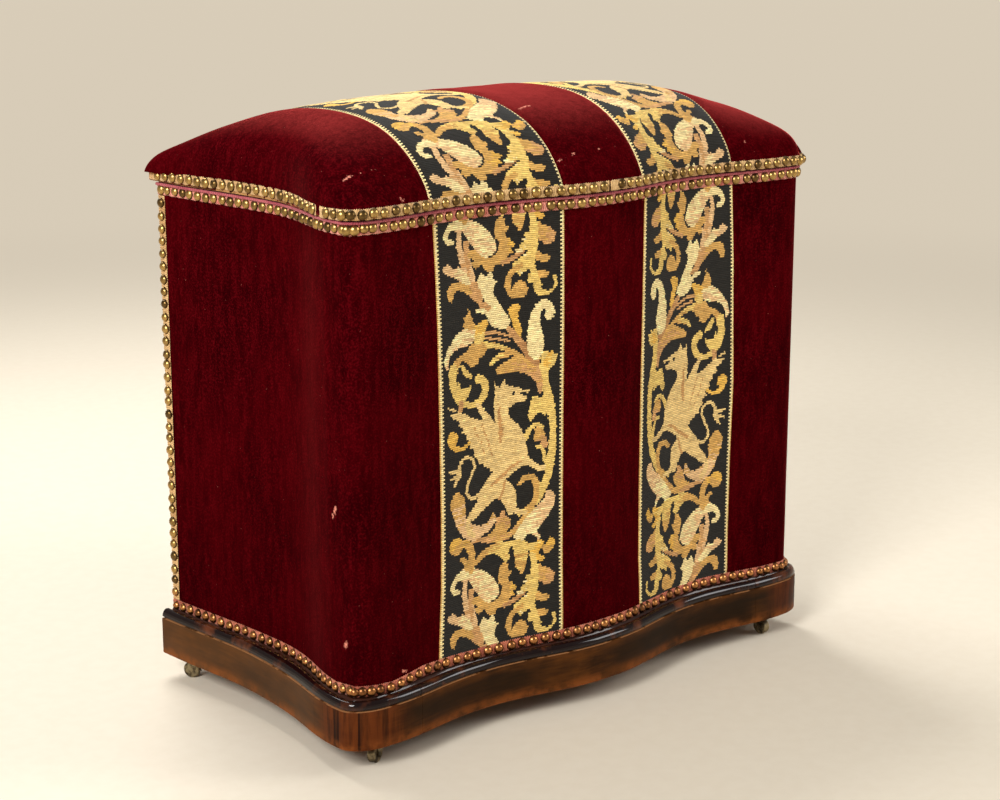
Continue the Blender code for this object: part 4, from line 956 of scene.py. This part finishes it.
def hem(points):  # turn the front and back edges down to the lid's rim
    front, back = points[:1].copy(), points[-1:].copy()
    front[..., 2] = heights["lidLow"]
    back[..., 2] = heights["lidLow"] + heights["lidBackLift"]
    return front, back


for side, mirror in (("left", False), ("right", True)):
    edges = [lambda y, edge=edge: seamAt(side, edge, y) for edge in ("outer", "inner")]
    halfSteps = lambda length: np.linspace(0, 1, 2 * int(length / rowPitch) + 1)
    points = lidStrip(edges[::-1] if mirror else edges, np.linspace(0, 1, needlework["columns"] + 1), halfSteps)
    rows = (len(points) - 1) // 2
    firstRow = int(round((lid["phase"][side] - needlework["foot"]) / (rowPitch * 1000)))
    hemRows, column = lid["hemRows"], np.arange(needlework["columns"] + 1)
    sunk = lid["sunk"] * np.exp(-(np.minimum(column, column[::-1]) / lid["sunkColumns"]) ** 2)
    raised = standOut(stitchCells(chart, rows, firstRow, mirror, lid["trim"])) + lid["proud"]
    raised[:, (0, -1)] = lid["hem"]
    raised -= sunk * easeIn(np.linspace(0, 1, len(points)))[:, None]
    raised[0], raised[-1] = lid["frontHem"], 0.0
    points = liftOff(points, raised)
    front, back = hem(points)
    down = np.linspace(0, 1, 2 * hemRows + 1)[:-1, None, None]
    points = np.concatenate([front * (1 - down) + points[:1] * down, points, (points[-1:] + back) / 2, back])
    name = "lidNeedlework" + side.title()
    cells = stitchCells(chart, (len(points) - 1) // 2, firstRow - hemRows, mirror, lid["trim"])
    band = pieceOf(name, bandMesh(name, points, cells), wool, "lid", "needlework", "lid_band_" + side)


def lidMiddle(name, *replaced):
    tuck, spread = cover["tuck"], easedShares(lid["middleRows"])
    edges = [lambda y: seamAt("left", "inner", y) - tuck, lambda y: seamAt("right", "inner", y) + tuck]
    points = lidStrip(edges, spread[::2], lambda length: spread)
    x, y = points[..., 0], points[..., 1]
    inside = np.minimum(x - seamAt("left", "inner", y), seamAt("right", "inner", y) - x)
    points = liftOff(points, puffAt(inside) * easeIn(spread)[:, None])
    front, back = hem(points)
    points = np.concatenate([front, points, back])
    mesh = meshOf(name, points.reshape(-1, 3), gridFaces(*points.shape[:2]))
    piece = thicken(pieceOf(name, mesh, crimson, "lid", "velvet", *replaced), cover["lidThick"])


def lidEnd(name, side, hand, node):
    rows, cols = lid["endGrid"]
    seam = lambda y: hand * seamAt(side, "outer", y)
    edge = seam(lid["frontY"]) - cover["tuck"]
    v, r = easedShares(rows), easedShares(cols)
    ease = easeIn(v)
    front = np.stack(planAt(runAtX(edge, lid["frontInset"], lid["sideInset"]) * (1 - r) + noseRun * r,
                            lid["frontInset"], lid["sideInset"]), -1)
    flank = np.stack([np.interp(v, np.linspace(0, 1, lid["sideSamples"]), line) for line in lidSide], -1)
    inner = front[0, 1] + (lid["backY"] - front[0, 1]) * v
    inner = np.stack([seam(inner) - cover["tuck"], inner], -1)
    back = np.stack([inner[-1, 0] + (flank[-1, 0] - inner[-1, 0]) * r, np.full(cols, lid["backY"])], -1)
    v, r = v[:, None, None], r[None, :, None]
    flat = ((1 - v) * front[None] + v * back[None] + (1 - r) * inner[:, None] + r * flank[:, None]
            - (1 - r) * (1 - v) * front[0] - r * (1 - v) * front[-1] - (1 - r) * v * back[0] - r * v * back[-1])
    x, y = flat[..., 0], flat[..., 1]
    out, noseY, noseWide, turned = lid["nose"].get(side, (0.0, 0.0, 1.0, 0.0))
    outer = nearFlank(x, y)
    bulge = out * (outer * np.exp(-((y - noseY) / noseWide) ** 2))
    points = np.stack([x + bulge, y, crownAt(hand * x, y)], -1)
    points = liftOff(points, puffAt(x - seam(y)) * ease[:, None]).reshape(-1, 3)
    faces = gridFaces(rows, cols).tolist()
    rim = (list(range(cols)) + [i * cols + cols - 1 for i in range(1, rows)]
           + [(rows - 1) * cols + j for j in range(cols - 2, -1, -1)])
    under, base = points[rim].copy(), len(points)  # turned in under the rim, then straight down
    drawn = flankAt(under[:, 1]) - np.interp(under[:, 1], *rimSide[::-1])
    under[:, 0] -= drawn * nearFlank(under[:, 0], under[:, 1])
    under[:, 0] -= (bulge + turned * outer).ravel()[rim]
    under[:, 2] -= lid["turnUnder"]
    low = under.copy()
    low[:, 2] = lidLowAt(low[:, 1])
    points = np.concatenate([points, under, low])
    for k in range(len(rim) - 1):
        faces.append([rim[k], base + k, base + k + 1, rim[k + 1]])
        faces.append([base + k, base + len(rim) + k, base + len(rim) + k + 1, base + k + 1])
    points[:, 0] *= hand
    if hand < 0:
        faces = [face[::-1] for face in faces]
    mesh = meshOf(name, points, faces)
    piece = thicken(pieceOf(name, mesh, crimson, "lid", "velvet", node), cover["lidThick"])


lidEnd("lidVelvetLeft", "left", -1.0, "lid_velvet_left")
lidEnd("lidVelvetRight", "right", 1.0, "lid_velvet_right")
lidMiddle("lidVelvetMiddle", "lid_velvet_middle", "lid_pad")
print("lid stuffed and covered")

# braids, cord and nails

braid = {"step": 0.00065, "tooth": 0.0026, "toothHigh": 0.0013, "pucker": 0.0042, "drawn": 0.0005, "lip": 0.0014,
         "nailEnd": 0.006, "nailDrift": 0.0005, "nailRise": 0.0004}
braids = {
    "lidBraid": {
        "inset": (0.0084, 0.0094), "rightIn": 0.0020, "thick": 0.0012, "low": 0.5090, "high": 0.5180,
        "ends": (0.1785, 0.1798),
        "wave": [(-0.655, 0.0012), (-0.600, 0.0012), (-0.530, 0.0024), (-0.430, 0.0020), (-0.380, 0.0),
                 (-0.357, -0.0010), (-0.350, -0.0010), (-0.320, 0.0)],
        "breaks": [(-0.3588, 0.0042), (0.001, 0.0014)], "bare": [(-0.3588, 0.0072), (0.001, 0.007)],
        "pitch": 0.0129, "nailInset": (0.0082, 0.0092), "nailZ": 0.5139, "nailFrom": 0.015,
        "body": "lid", "slot": "tan_braid", "node": "lid_gimp", "paint": tanBraid},
    "boxBraid": {
        "inset": (0.0142, 0.0142), "thick": 0.0013, "low": 0.4950, "high": 0.5046, "ends": (0.1720, 0.1720),
        "wave": [(-0.50, 0.0006), (-0.40, 0.0)], "breaks": [], "bare": [], "pitch": 0.0122,
        "nailInset": (0.0139, 0.0139), "nailZ": 0.5001,
        "body": "box", "slot": "pink_braid", "node": "box_gimp", "paint": pinkBraid},
    "baseBraid": {
        "inset": (0.0142, 0.0142), "thick": 0.0013, "low": 0.0708, "high": 0.0808, "ends": (0.1720, 0.1720),
        "wave": [(-0.64, -0.0010), (-0.54, -0.0010), (-0.45, -0.0022), (-0.350, -0.0015), (-0.325, 0.0018),
                 (-0.290, 0.0010), (-0.258, -0.0016), (-0.217, 0.0022), (-0.150, -0.0008), (0.0, 0.0005),
                 (0.10, -0.0010), (0.171, 0.0012), (0.223, 0.0), (0.282, -0.0014), (0.50, -0.0010)],
        "breaks": [], "bare": [], "pitch": 0.0127, "nailInset": (0.0139, 0.0139), "nailZ": 0.0759,
        "body": "box", "slot": "pink_braid", "node": "base_gimp", "paint": baseBraid},
}


def closedTubes(name, tubes):  # each tube is rings of points, one after another, with flat ends
    faces, base = [], 0
    for rings in tubes:
        count, around = rings.shape[:2]
        faces += (gridFaces(count, around, wrapCols=True) + base).tolist()
        faces.append([base + k for k in range(around)][::-1])
        faces.append([base + (count - 1) * around + k for k in range(around)])
        base += count * around
    return meshOf(name, np.concatenate([rings.reshape(-1, 3) for rings in tubes]), faces)


def weaveMap(mesh, stretches, around):  # millimetres along each stretch, 0 to 1 round it
    up = np.linspace(0, 1, around)
    mapFaces(mesh, "weave", np.concatenate([np.stack(np.meshgrid(along * 1000, up, indexing="ij"), -1).reshape(-1, 2)
                                            for along in stretches]))


def wovenPiece(name, tubes, stretches, paint, body, slot, node):
    mesh = closedTubes(name, tubes)
    weaveMap(mesh, stretches, tubes[0].shape[1])
    pieceOf(name, mesh, paint, body, slot, node)


def laidBraid(along, low, high, thick, full):  # stand-off and edge of the seven lines round a nailed braid
    tooth = np.abs(np.sin(np.pi * along / braid["tooth"])) * braid["toothHigh"]
    drawn, puff = (1 - full) * braid["drawn"], thick * (0.55 + 0.55 * full)
    flat = 0 * along
    return [(flat, low + drawn), (puff * 0.7, low + drawn - tooth * 0.4), (puff, low + braid["lip"] + flat),
            (puff * 0.75, (low + high) / 2 + flat), (puff, high - braid["lip"] + flat),
            (puff * 0.7, high - drawn + tooth), (flat, high - drawn)]


def fullness(along, nails):  # 0 at a nail, 1 between two
    return 1 - np.exp(-(np.abs(along[:, None] - nails).min(1) / braid["pucker"]) ** 2)


def drawnIn(made, run):  # the lid's right side is a little smaller
    return np.where(np.asarray(run) > 0, made.get("rightIn", 0.0), 0.0)


for name, made in braids.items():
    first, last = -runAtBack(made["ends"][0]), runAtBack(made["ends"][1])
    count = int((last - first) / made["pitch"])
    nailFrom = first + made.get("nailFrom", braid["nailEnd"])
    nails = np.linspace(nailFrom, last - braid["nailEnd"], count) + chance.normal(0, braid["nailDrift"], count)
    for at, clear in made["bare"]:
        nails = nails[np.abs(nails - at) > clear]
    made["nails"] = nails
    stops = [first] + [edge for at, half in made["breaks"] for edge in (at - half, at + half)] + [last]
    stretches = [np.linspace(start, stop, int((stop - start) / braid["step"]) + 2)
                 for start, stop in zip(stops[::2], stops[1::2])]
    tubes = []
    for run in stretches:
        lift = np.interp(run, *zip(*made["wave"]))
        rings = []
        for out, level in laidBraid(run, made["low"], made["high"], made["thick"], fullness(run, nails)):
            x, y = planAt(run, made["inset"][0] - out, made["inset"][1] + drawnIn(made, run) - out)
            rings.append(np.stack([x, y, level + lift], -1))
        tubes.append(np.stack(rings, 1))
    wovenPiece(name, tubes, stretches, made["paint"], made["body"], made["slot"], made["node"])

cord = {"radius": 0.0017, "z": 0.5060, "inset": 0.0122, "twist": 0.0085, "groove": 0.00028, "sides": 10, "steps": 900}
end = runAtBack(cover["bodyBack"])
run = np.linspace(-end, end, cord["steps"])
turn = ringAngles(cord["sides"])
strand = np.abs(np.sin(turn[None] + 2 * np.pi * run[:, None] / cord["twist"]))
radius = cord["radius"] - cord["groove"] * (1 - strand)
x, y = planAt(np.repeat(run[:, None], cord["sides"], 1), cord["inset"] + radius * np.cos(turn)[None])
rings = np.stack([x, y, cord["z"] + radius * np.sin(turn)[None]], -1)
wovenPiece("boxCord", [rings], [run], cordBraid, "box", "pink_braid", "box_cord")

nail = {"radius": 0.0049, "high": 0.0045, "sides": 16, "tilt": 0.06, "spread": (0.94, 1.08),
        "bright": (0.35, 1.0), "dark": (0.0, 0.25), "darkShare": 0.10,
        "profile": [(1.0, -0.08), (1.0, 0.10), (0.93, 0.40), (0.77, 0.66), (0.54, 0.86), (0.27, 0.97)]}


def nailRow(name, places, paint, body, slot, scale=1.0):  # places: point and outward direction of each nail
    points, faces, tones, rims = [], [], [], []
    sides = nail["sides"]
    turn = ringAngles(sides)
    for point, way in places:
        way = Vector(way) + Vector(chance.normal(0, nail["tilt"], 3))
        spin = way.to_track_quat("Z", "Y").to_matrix()
        size, rise = nail["radius"] * scale * chance.uniform(*nail["spread"]), nail["high"] * scale
        tone = chance.uniform(*(nail["bright"] if chance.uniform() > nail["darkShare"] else nail["dark"]))
        base = len(points)
        for wide, high in nail["profile"]:
            for angle in turn:
                local = Vector((wide * size * math.cos(angle), wide * size * math.sin(angle), high * rise))
                points.append(Vector(point) + spin @ local)
                rims.append(wide if high < 0.5 else 0.0)
        points.append(Vector(point) + spin @ Vector((0, 0, rise)))
        rims.append(0.0)
        tones += [tone] * (len(points) - base)
        faces += (gridFaces(len(nail["profile"]), sides, wrapCols=True) + base).tolist()
        last = base + (len(nail["profile"]) - 1) * sides
        faces += [(last + k, last + (k + 1) % sides, len(points) - 1) for k in range(sides)]
    mesh = meshOf(name, points, faces)
    tagPoints(mesh, "tone", tones)
    tagPoints(mesh, "rim", rims)
    pieceOf(name, mesh, paint, body, slot)


for name, made in braids.items():
    places = []
    for at in made["nails"]:
        x, y = planAt(at, made["nailInset"][0], made["nailInset"][1] + drawnIn(made, at))
        nx, ny = facing(at)
        z = made["nailZ"] + np.interp(at, *zip(*made["wave"])) + chance.normal(0, braid["nailRise"])
        places.append(((x, y, z), (nx, ny, 0.0)))
    nailRow(name.replace("Braid", "Nails"), places, brassNail, made["body"], "brass")

cornerBraid = {"low": 0.0806, "high": 0.4953, "width": 0.0105, "inset": 0.0142, "thick": 0.0013, "pitch": 0.01245,
               "edge": 0.0004, "firstNail": 0.0885, "nailBack": 0.0053, "nailInset": 0.0139, "clear": 0.005,
               "nailDrift": 0.0007}
for side, hand in (("Left", -1.0), ("Right", 1.0)):
    z = np.arange(cornerBraid["low"], cornerBraid["high"], braid["step"])
    nails = np.arange(cornerBraid["firstNail"], cornerBraid["high"] - cornerBraid["clear"], cornerBraid["pitch"])
    nails = nails + chance.normal(0, cornerBraid["nailDrift"], len(nails))
    end = runAtBack(cover["bodyBack"])
    rings = []
    for out, back in laidBraid(z, cornerBraid["edge"], cornerBraid["width"], cornerBraid["thick"],
                               fullness(z, nails)):
        x, y = planAt(end - np.maximum(back, 0), cornerBraid["inset"] - out)
        rings.append(np.stack([hand * x, y, z], -1))
    rings = np.stack(rings if hand > 0 else rings[::-1], 1)
    wovenPiece("cornerBraid" + side, [rings], [z], tanBraid, "box", "tan_braid", "corner_gimp_" + side.lower())
    x, y = planAt(end - cornerBraid["nailBack"], cornerBraid["nailInset"])
    places = [((hand * x, y, at), (hand, 0.0, 0.0)) for at in nails]
    nailRow("cornerNails" + side, places, brassNail, "box", "brass")
print("braids and nails set")

# plinth and its moulding

plinth = {"low": 0.024, "high": 0.062, "ease": 0.0012, "postX": 0.230, "postY": -0.1035,
          "innerX": 0.2440, "innerY": -0.1210, "gap": 0.0003, "step": 0.006, "cornerStep": 0.004,
          "flares": [(0.450, 0.055, 0.0060), (0.295, 0.035, -0.0020)]}  # run, width and stand-out


def flareAt(run):
    return sum(out * np.exp(-((np.abs(run) - at) / wide) ** 2) for at, wide, out in plinth["flares"])


def prismOf(name, outline, low, high, ease):
    area = 0.5 * sum(a[0] * b[1] - b[0] * a[1] for a, b in zip(outline, outline[1:] + outline[:1]))
    if area < 0:
        outline = outline[::-1]
    bm = bmesh.new()
    face = bm.faces.new([bm.verts.new((x, y, low)) for x, y in outline])
    grown = bmesh.ops.extrude_face_region(bm, geom=[face])["geom"]
    bmesh.ops.translate(bm, verts=[g for g in grown if isinstance(g, bmesh.types.BMVert)], vec=(0, 0, high - low))
    bmesh.ops.recalc_face_normals(bm, faces=bm.faces)
    level = [e for e in bm.edges if abs(e.verts[0].co.z - e.verts[1].co.z) < 1e-7]
    bmesh.ops.bevel(bm, geom=level, offset=ease, segments=2, affect="EDGES", profile=0.5, clamp_overlap=True)
    mesh = bpy.data.meshes.new(name)
    bm.to_mesh(mesh)
    bm.free()
    mesh.shade_smooth()
    mesh.set_sharp_from_angle(angle=math.radians(40))
    return mesh


def planStretch(run0, run1, step=plinth["step"]):
    run = np.linspace(run0, run1, int(abs(run1 - run0) / step) + 2)
    return list(zip(*planAt(run, -flareAt(run))))


gap, postRun = plinth["gap"], runAtX(plinth["postX"], 0.0)
sideRun = np.interp(plinth["postY"], planAt(sideRuns, 0.0)[1], sideRuns)
frontEnd = runAtX(plinth["postX"] - gap, 0.0)
shapes = {
    "plinthFront": (planStretch(-frontEnd, frontEnd) + [(plinth["postX"] - gap, plinth["innerY"]),
                                                        (gap - plinth["postX"], plinth["innerY"])], "plinth_front"),
}
corner = planStretch(postRun, sideRun, plinth["cornerStep"]) + [(plinth["postX"], plinth["postY"])]
flank = planStretch(sideRun + gap, cornerRun) + [(plinth["innerX"], plan["backY"]),
                                                 (plinth["innerX"], plinth["postY"] + gap)]
for side, hand in (("left", -1), ("right", 1)):
    shapes["plinthCorner" + side.title()] = ([(hand * x, y) for x, y in corner], "plinth_corner_" + side)
    shapes["plinthSide" + side.title()] = ([(hand * x, y) for x, y in flank], "plinth_" + side)
for name, (outline, node) in shapes.items():
    mesh = prismOf(name, outline, plinth["low"], plinth["high"], plinth["ease"])
    pieceOf(name, mesh, rosewood, "box", "rosewood", node)

moulding = {"bead": (0.0006, 0.0124, 0.0084), "foot": 0.0020, "full": 0.75, "arc": (4, 150), "steps": 14,
            "cove": [(0.0122, 0.0052), (0.0132, 0.0062), (0.0140, 0.0078)], "in": 0.0159,
            "low": 0.0623, "high": 0.0713, "step": 0.004}


def mouldingSection():  # inset, height and whether the point is in the cove
    out, back, rise = moulding["bead"]
    angles = np.radians(np.linspace(*moulding["arc"], moulding["steps"]))
    bead = [((out + back) / 2 - (back - out) / 2 * math.cos(a),
             moulding["low"] + rise * math.sin(a) ** moulding["full"], 0) for a in angles]
    cove = [(inset, moulding["low"] + lift, 1) for inset, lift in moulding["cove"]]
    return ([(moulding["in"], moulding["low"], 0), (moulding["foot"], moulding["low"], 0)] + bead + cove
            + [(moulding["in"], moulding["high"], 1)])


section = mouldingSection()
for name, run0, run1, node in (("mouldingLeft", -cornerRun, -postRun - gap, "moulding_left"),
                               ("mouldingFront", -postRun + gap, postRun - gap, "moulding_front"),
                               ("mouldingRight", postRun + gap, cornerRun, "moulding_right")):
    run = np.linspace(run0, run1, int((run1 - run0) / moulding["step"]) + 2)
    rings = []
    for inset, level, _ in section:
        x, y = planAt(run, inset - flareAt(run) * (1 - inset / moulding["in"]))
        rings.append(np.stack([x, y, np.full(len(run), level)], -1))
    mesh = closedTubes(name, [np.stack(rings, 1)])
    mesh.set_sharp_from_angle(angle=math.radians(50))
    tagPoints(mesh, "cove", np.tile([cove for _, _, cove in section], len(run)))
    pieceOf(name, mesh, ebonised, "box", "ebonised", node)
print("plinth moulded")

# back cloth: a slack piece tacked round its edge

backCloth = {"halfWidth": 0.2746, "low": 0.0720, "high": 0.5080, "y": 0.1735, "slack": 0.0006, "thick": 0.0009,
             "columns": 80, "rows": 64}
x, z = np.meshgrid(np.linspace(-backCloth["halfWidth"], backCloth["halfWidth"], backCloth["columns"]),
                   np.linspace(backCloth["low"], backCloth["high"], backCloth["rows"]))
held = (1 - (x / backCloth["halfWidth"]) ** 8) * np.sin(np.pi * (z - z.min()) / np.ptp(z)) ** 0.3
sway = held * backCloth["slack"] * (np.sin(x * 40 + 2 * np.sin(z * 9)) * 0.6 + np.sin(z * 31 + x * 12) * 0.4 - 1)
points = np.stack([x, backCloth["y"] + sway, z], -1)
mesh = meshOf("backCloth", points.reshape(-1, 3), gridFaces(*x.shape, flip=True))
back = thicken(pieceOf("backCloth", mesh, backing, "box", "cotton", "back_cloth"), backCloth["thick"])

tacks = {"margin": 0.0042, "pitch": 0.040, "scale": 0.48}
margin = tacks["margin"]
wide, low, high = backCloth["halfWidth"] - margin, backCloth["low"] + margin, backCloth["high"] - margin
level = np.linspace(-wide, wide, int(2 * wide / tacks["pitch"]) + 2)
upright = np.linspace(low, high, int((high - low) / tacks["pitch"]) + 2)[1:-1]
spots = [(x, z) for z in (low, high) for x in level] + [(x, z) for x in (-wide, wide) for z in upright]
places = [((x, backCloth["y"], z), (0.0, 1.0, 0.0)) for x, z in spots]
nailRow("backTacks", places, iron, "box", "iron", tacks["scale"])
print("back cloth tacked")

# hinge screws: slotted heads, three to a leaf

screw = {"radius": 0.0030, "slot": 0.0004, "bed": 0.0001, "high": 0.0004, "ease": 0.0003, "leaf": 0.0014,
         "knuckle": 0.0030, "sides": 20,
         "spots": [(0.17, 0.55), (0.50, 0.26), (0.83, 0.55)]}  # share of the leaf's length, then of its width


def screwHead(point, out, spin):  # a thin bed and two half heads with the slot between them
    axis = Vector(out).to_track_quat("Z", "Y").to_matrix() @ Matrix.Rotation(spin, 3, "Z")
    first = math.asin(screw["slot"] / screw["radius"])
    outlines = [(ringAngles(screw["sides"]), screw["bed"])]
    for side in (0.0, math.pi):
        outlines.append((np.linspace(side + first, side + math.pi - first, screw["sides"] // 2), screw["high"]))
    tubes = []
    for angles, top in outlines:
        rings = []
        for reach, level in ((1.0, -screw["bed"]), (1.0, top * 0.5), (1.0 - screw["ease"] / screw["radius"], top)):
            flat = reach * screw["radius"]
            rings.append([Vector(point) + axis @ Vector((flat * math.cos(a), flat * math.sin(a), level))
                          for a in angles])
        tubes.append(np.array(rings))
    return tubes


for body, node, out in (("box", "hinge_box_leaf_", (0.0, 1.0, 0.0)), ("lid", "hinge_lid_leaf_", (0.0, 0.0, -1.0))):
    tubes = []
    for side in ("left", "right"):
        low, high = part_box(node + side)
        for along, across in screw["spots"]:
            x = low[0] + (high[0] - low[0]) * along
            if body == "box":
                point = (x, low[1] + screw["leaf"], low[2] + (high[2] - screw["knuckle"] - low[2]) * across)
            else:
                point = (x, low[1] + (high[1] - low[1]) * across, high[2] - screw["leaf"])
            tubes += screwHead(point, out, chance.uniform(0, math.pi))
    name = "hingeScrews" + body.title()
    mesh = closedTubes(name, tubes)
    mesh.set_sharp_from_angle(angle=math.radians(35))
    pieceOf(name, mesh, iron, body, "iron")
print("hinges screwed")

# carried-over solids take their finishes

carried = [
    (pine, ["box_front", "box_post_left", "box_post_right", "box_left", "box_right", "box_back", "base_board",
            "lid_board"]),
    (lining, ["box_lining", "lid_lining"]),
    (rosewood, ["plinth_back"]),
    (brass, [name for name in nodes if name.startswith("hinge")]),
    (iron, [name for name in nodes if name.startswith("castor")]),
]
for paint, names in carried:
    for name in names:
        nodes[name].data.materials.clear()
        nodes[name].data.materials.append(paint.material)

# studio: pale floor, soft light, camera at the photograph's place

studio = {
    "floor": srgb(222, 212, 194), "wall": srgb(214, 202, 182), "world": 0.36,
    "eye": (-1.3959, -1.5891, 0.7864), "look": (0.64563, 0.72661, -0.23496), "lens": 76.3,
    "lamps": [("keyLamp", (-2.7, -1.25, 2.0), 1.1, 106), ("sideLamp", (1.9, -1.9, 1.5), 1.0, 32),
              ("topLamp", (0.2, 1.5, 2.3), 1.3, 64)], "aim": (0, 0, 0.3), "nearFloor": 0.9, "farFloor": 3.2,
    "sky": srgb(236, 230, 220), "reach": 38.0, "rise": 11.0, "sides": 48,
}


def floorPaint():
    paint = Paint("studioFloor", Roughness=0.9, Specular_IOR_Level=0.1, Emission_Strength=1.0)
    at = paint.place()
    speck = paint.noise(at, 60.0, 3.0)
    away = paint.node("ShaderNodeVectorMath", {"operation": "LENGTH"}, {0: at}, out="Value")
    far = away.over(studio["nearFloor"], studio["farFloor"])  # beyond the lamps the floor stays as pale
    seen = sum(paint.node("ShaderNodeLightPath", out="Is " + ray + " Ray")
               for ray in ("Camera", "Glossy", "Transmission"))
    colour = paint.mix(speck.over(0.3, 0.7) * 0.25, studio["floor"], studio["wall"])
    black = (0.0, 0.0, 0.0, 1.0)
    sky = tuple(level * studio["world"] for level in studio["sky"][:3]) + (1.0,)
    lit = paint.mix(paint.part(at, 2).above(0.01), black, sky)  # the wall lights the object as the sky behind it does
    paint.feed("Base Color", paint.mix(far, colour, black))
    paint.feed("Emission Color", paint.mix(far * seen, lit, studio["wall"]))
    return paint


turn = ringAngles(studio["sides"])
rim = np.stack([np.cos(turn) * studio["reach"], np.sin(turn) * studio["reach"], 0 * turn], -1)
faces = gridFaces(2, studio["sides"], wrapCols=True, flip=True).tolist() + [list(range(studio["sides"]))]
floorMesh = meshOf("studioFloor", np.concatenate([rim, rim + (0, 0, studio["rise"])]), faces, smooth=False)
floor = placed("studioFloor", floorMesh)
floorMesh.materials.append(floorPaint().material)

for name, spot, size, power in studio["lamps"]:
    lamp = bpy.data.lights.new(name, "AREA")
    lamp.energy, lamp.size = power, size
    holder = placed(name, lamp)
    holder.location = spot
    holder.rotation_euler = (Vector(studio["aim"]) - Vector(spot)).to_track_quat("-Z", "Y").to_euler()

world = bpy.data.worlds.new("studioWorld")
bpy.context.scene.world = world
world.use_nodes = True
world.node_tree.nodes["Background"].inputs[0].default_value = studio["sky"]
world.node_tree.nodes["Background"].inputs[1].default_value = studio["world"]

lensData = bpy.data.cameras.new("photoCamera")
lensData.lens, lensData.sensor_width, lensData.sensor_fit = studio["lens"], 36.0, "HORIZONTAL"
camera = placed("photoCamera", lensData)
camera.location = studio["eye"]
camera.rotation_euler = Vector(studio["look"]).to_track_quat("-Z", "Y").to_euler()
bpy.context.scene.camera = camera
bpy.context.scene.view_settings.view_transform = "Standard"
print("studio lit")
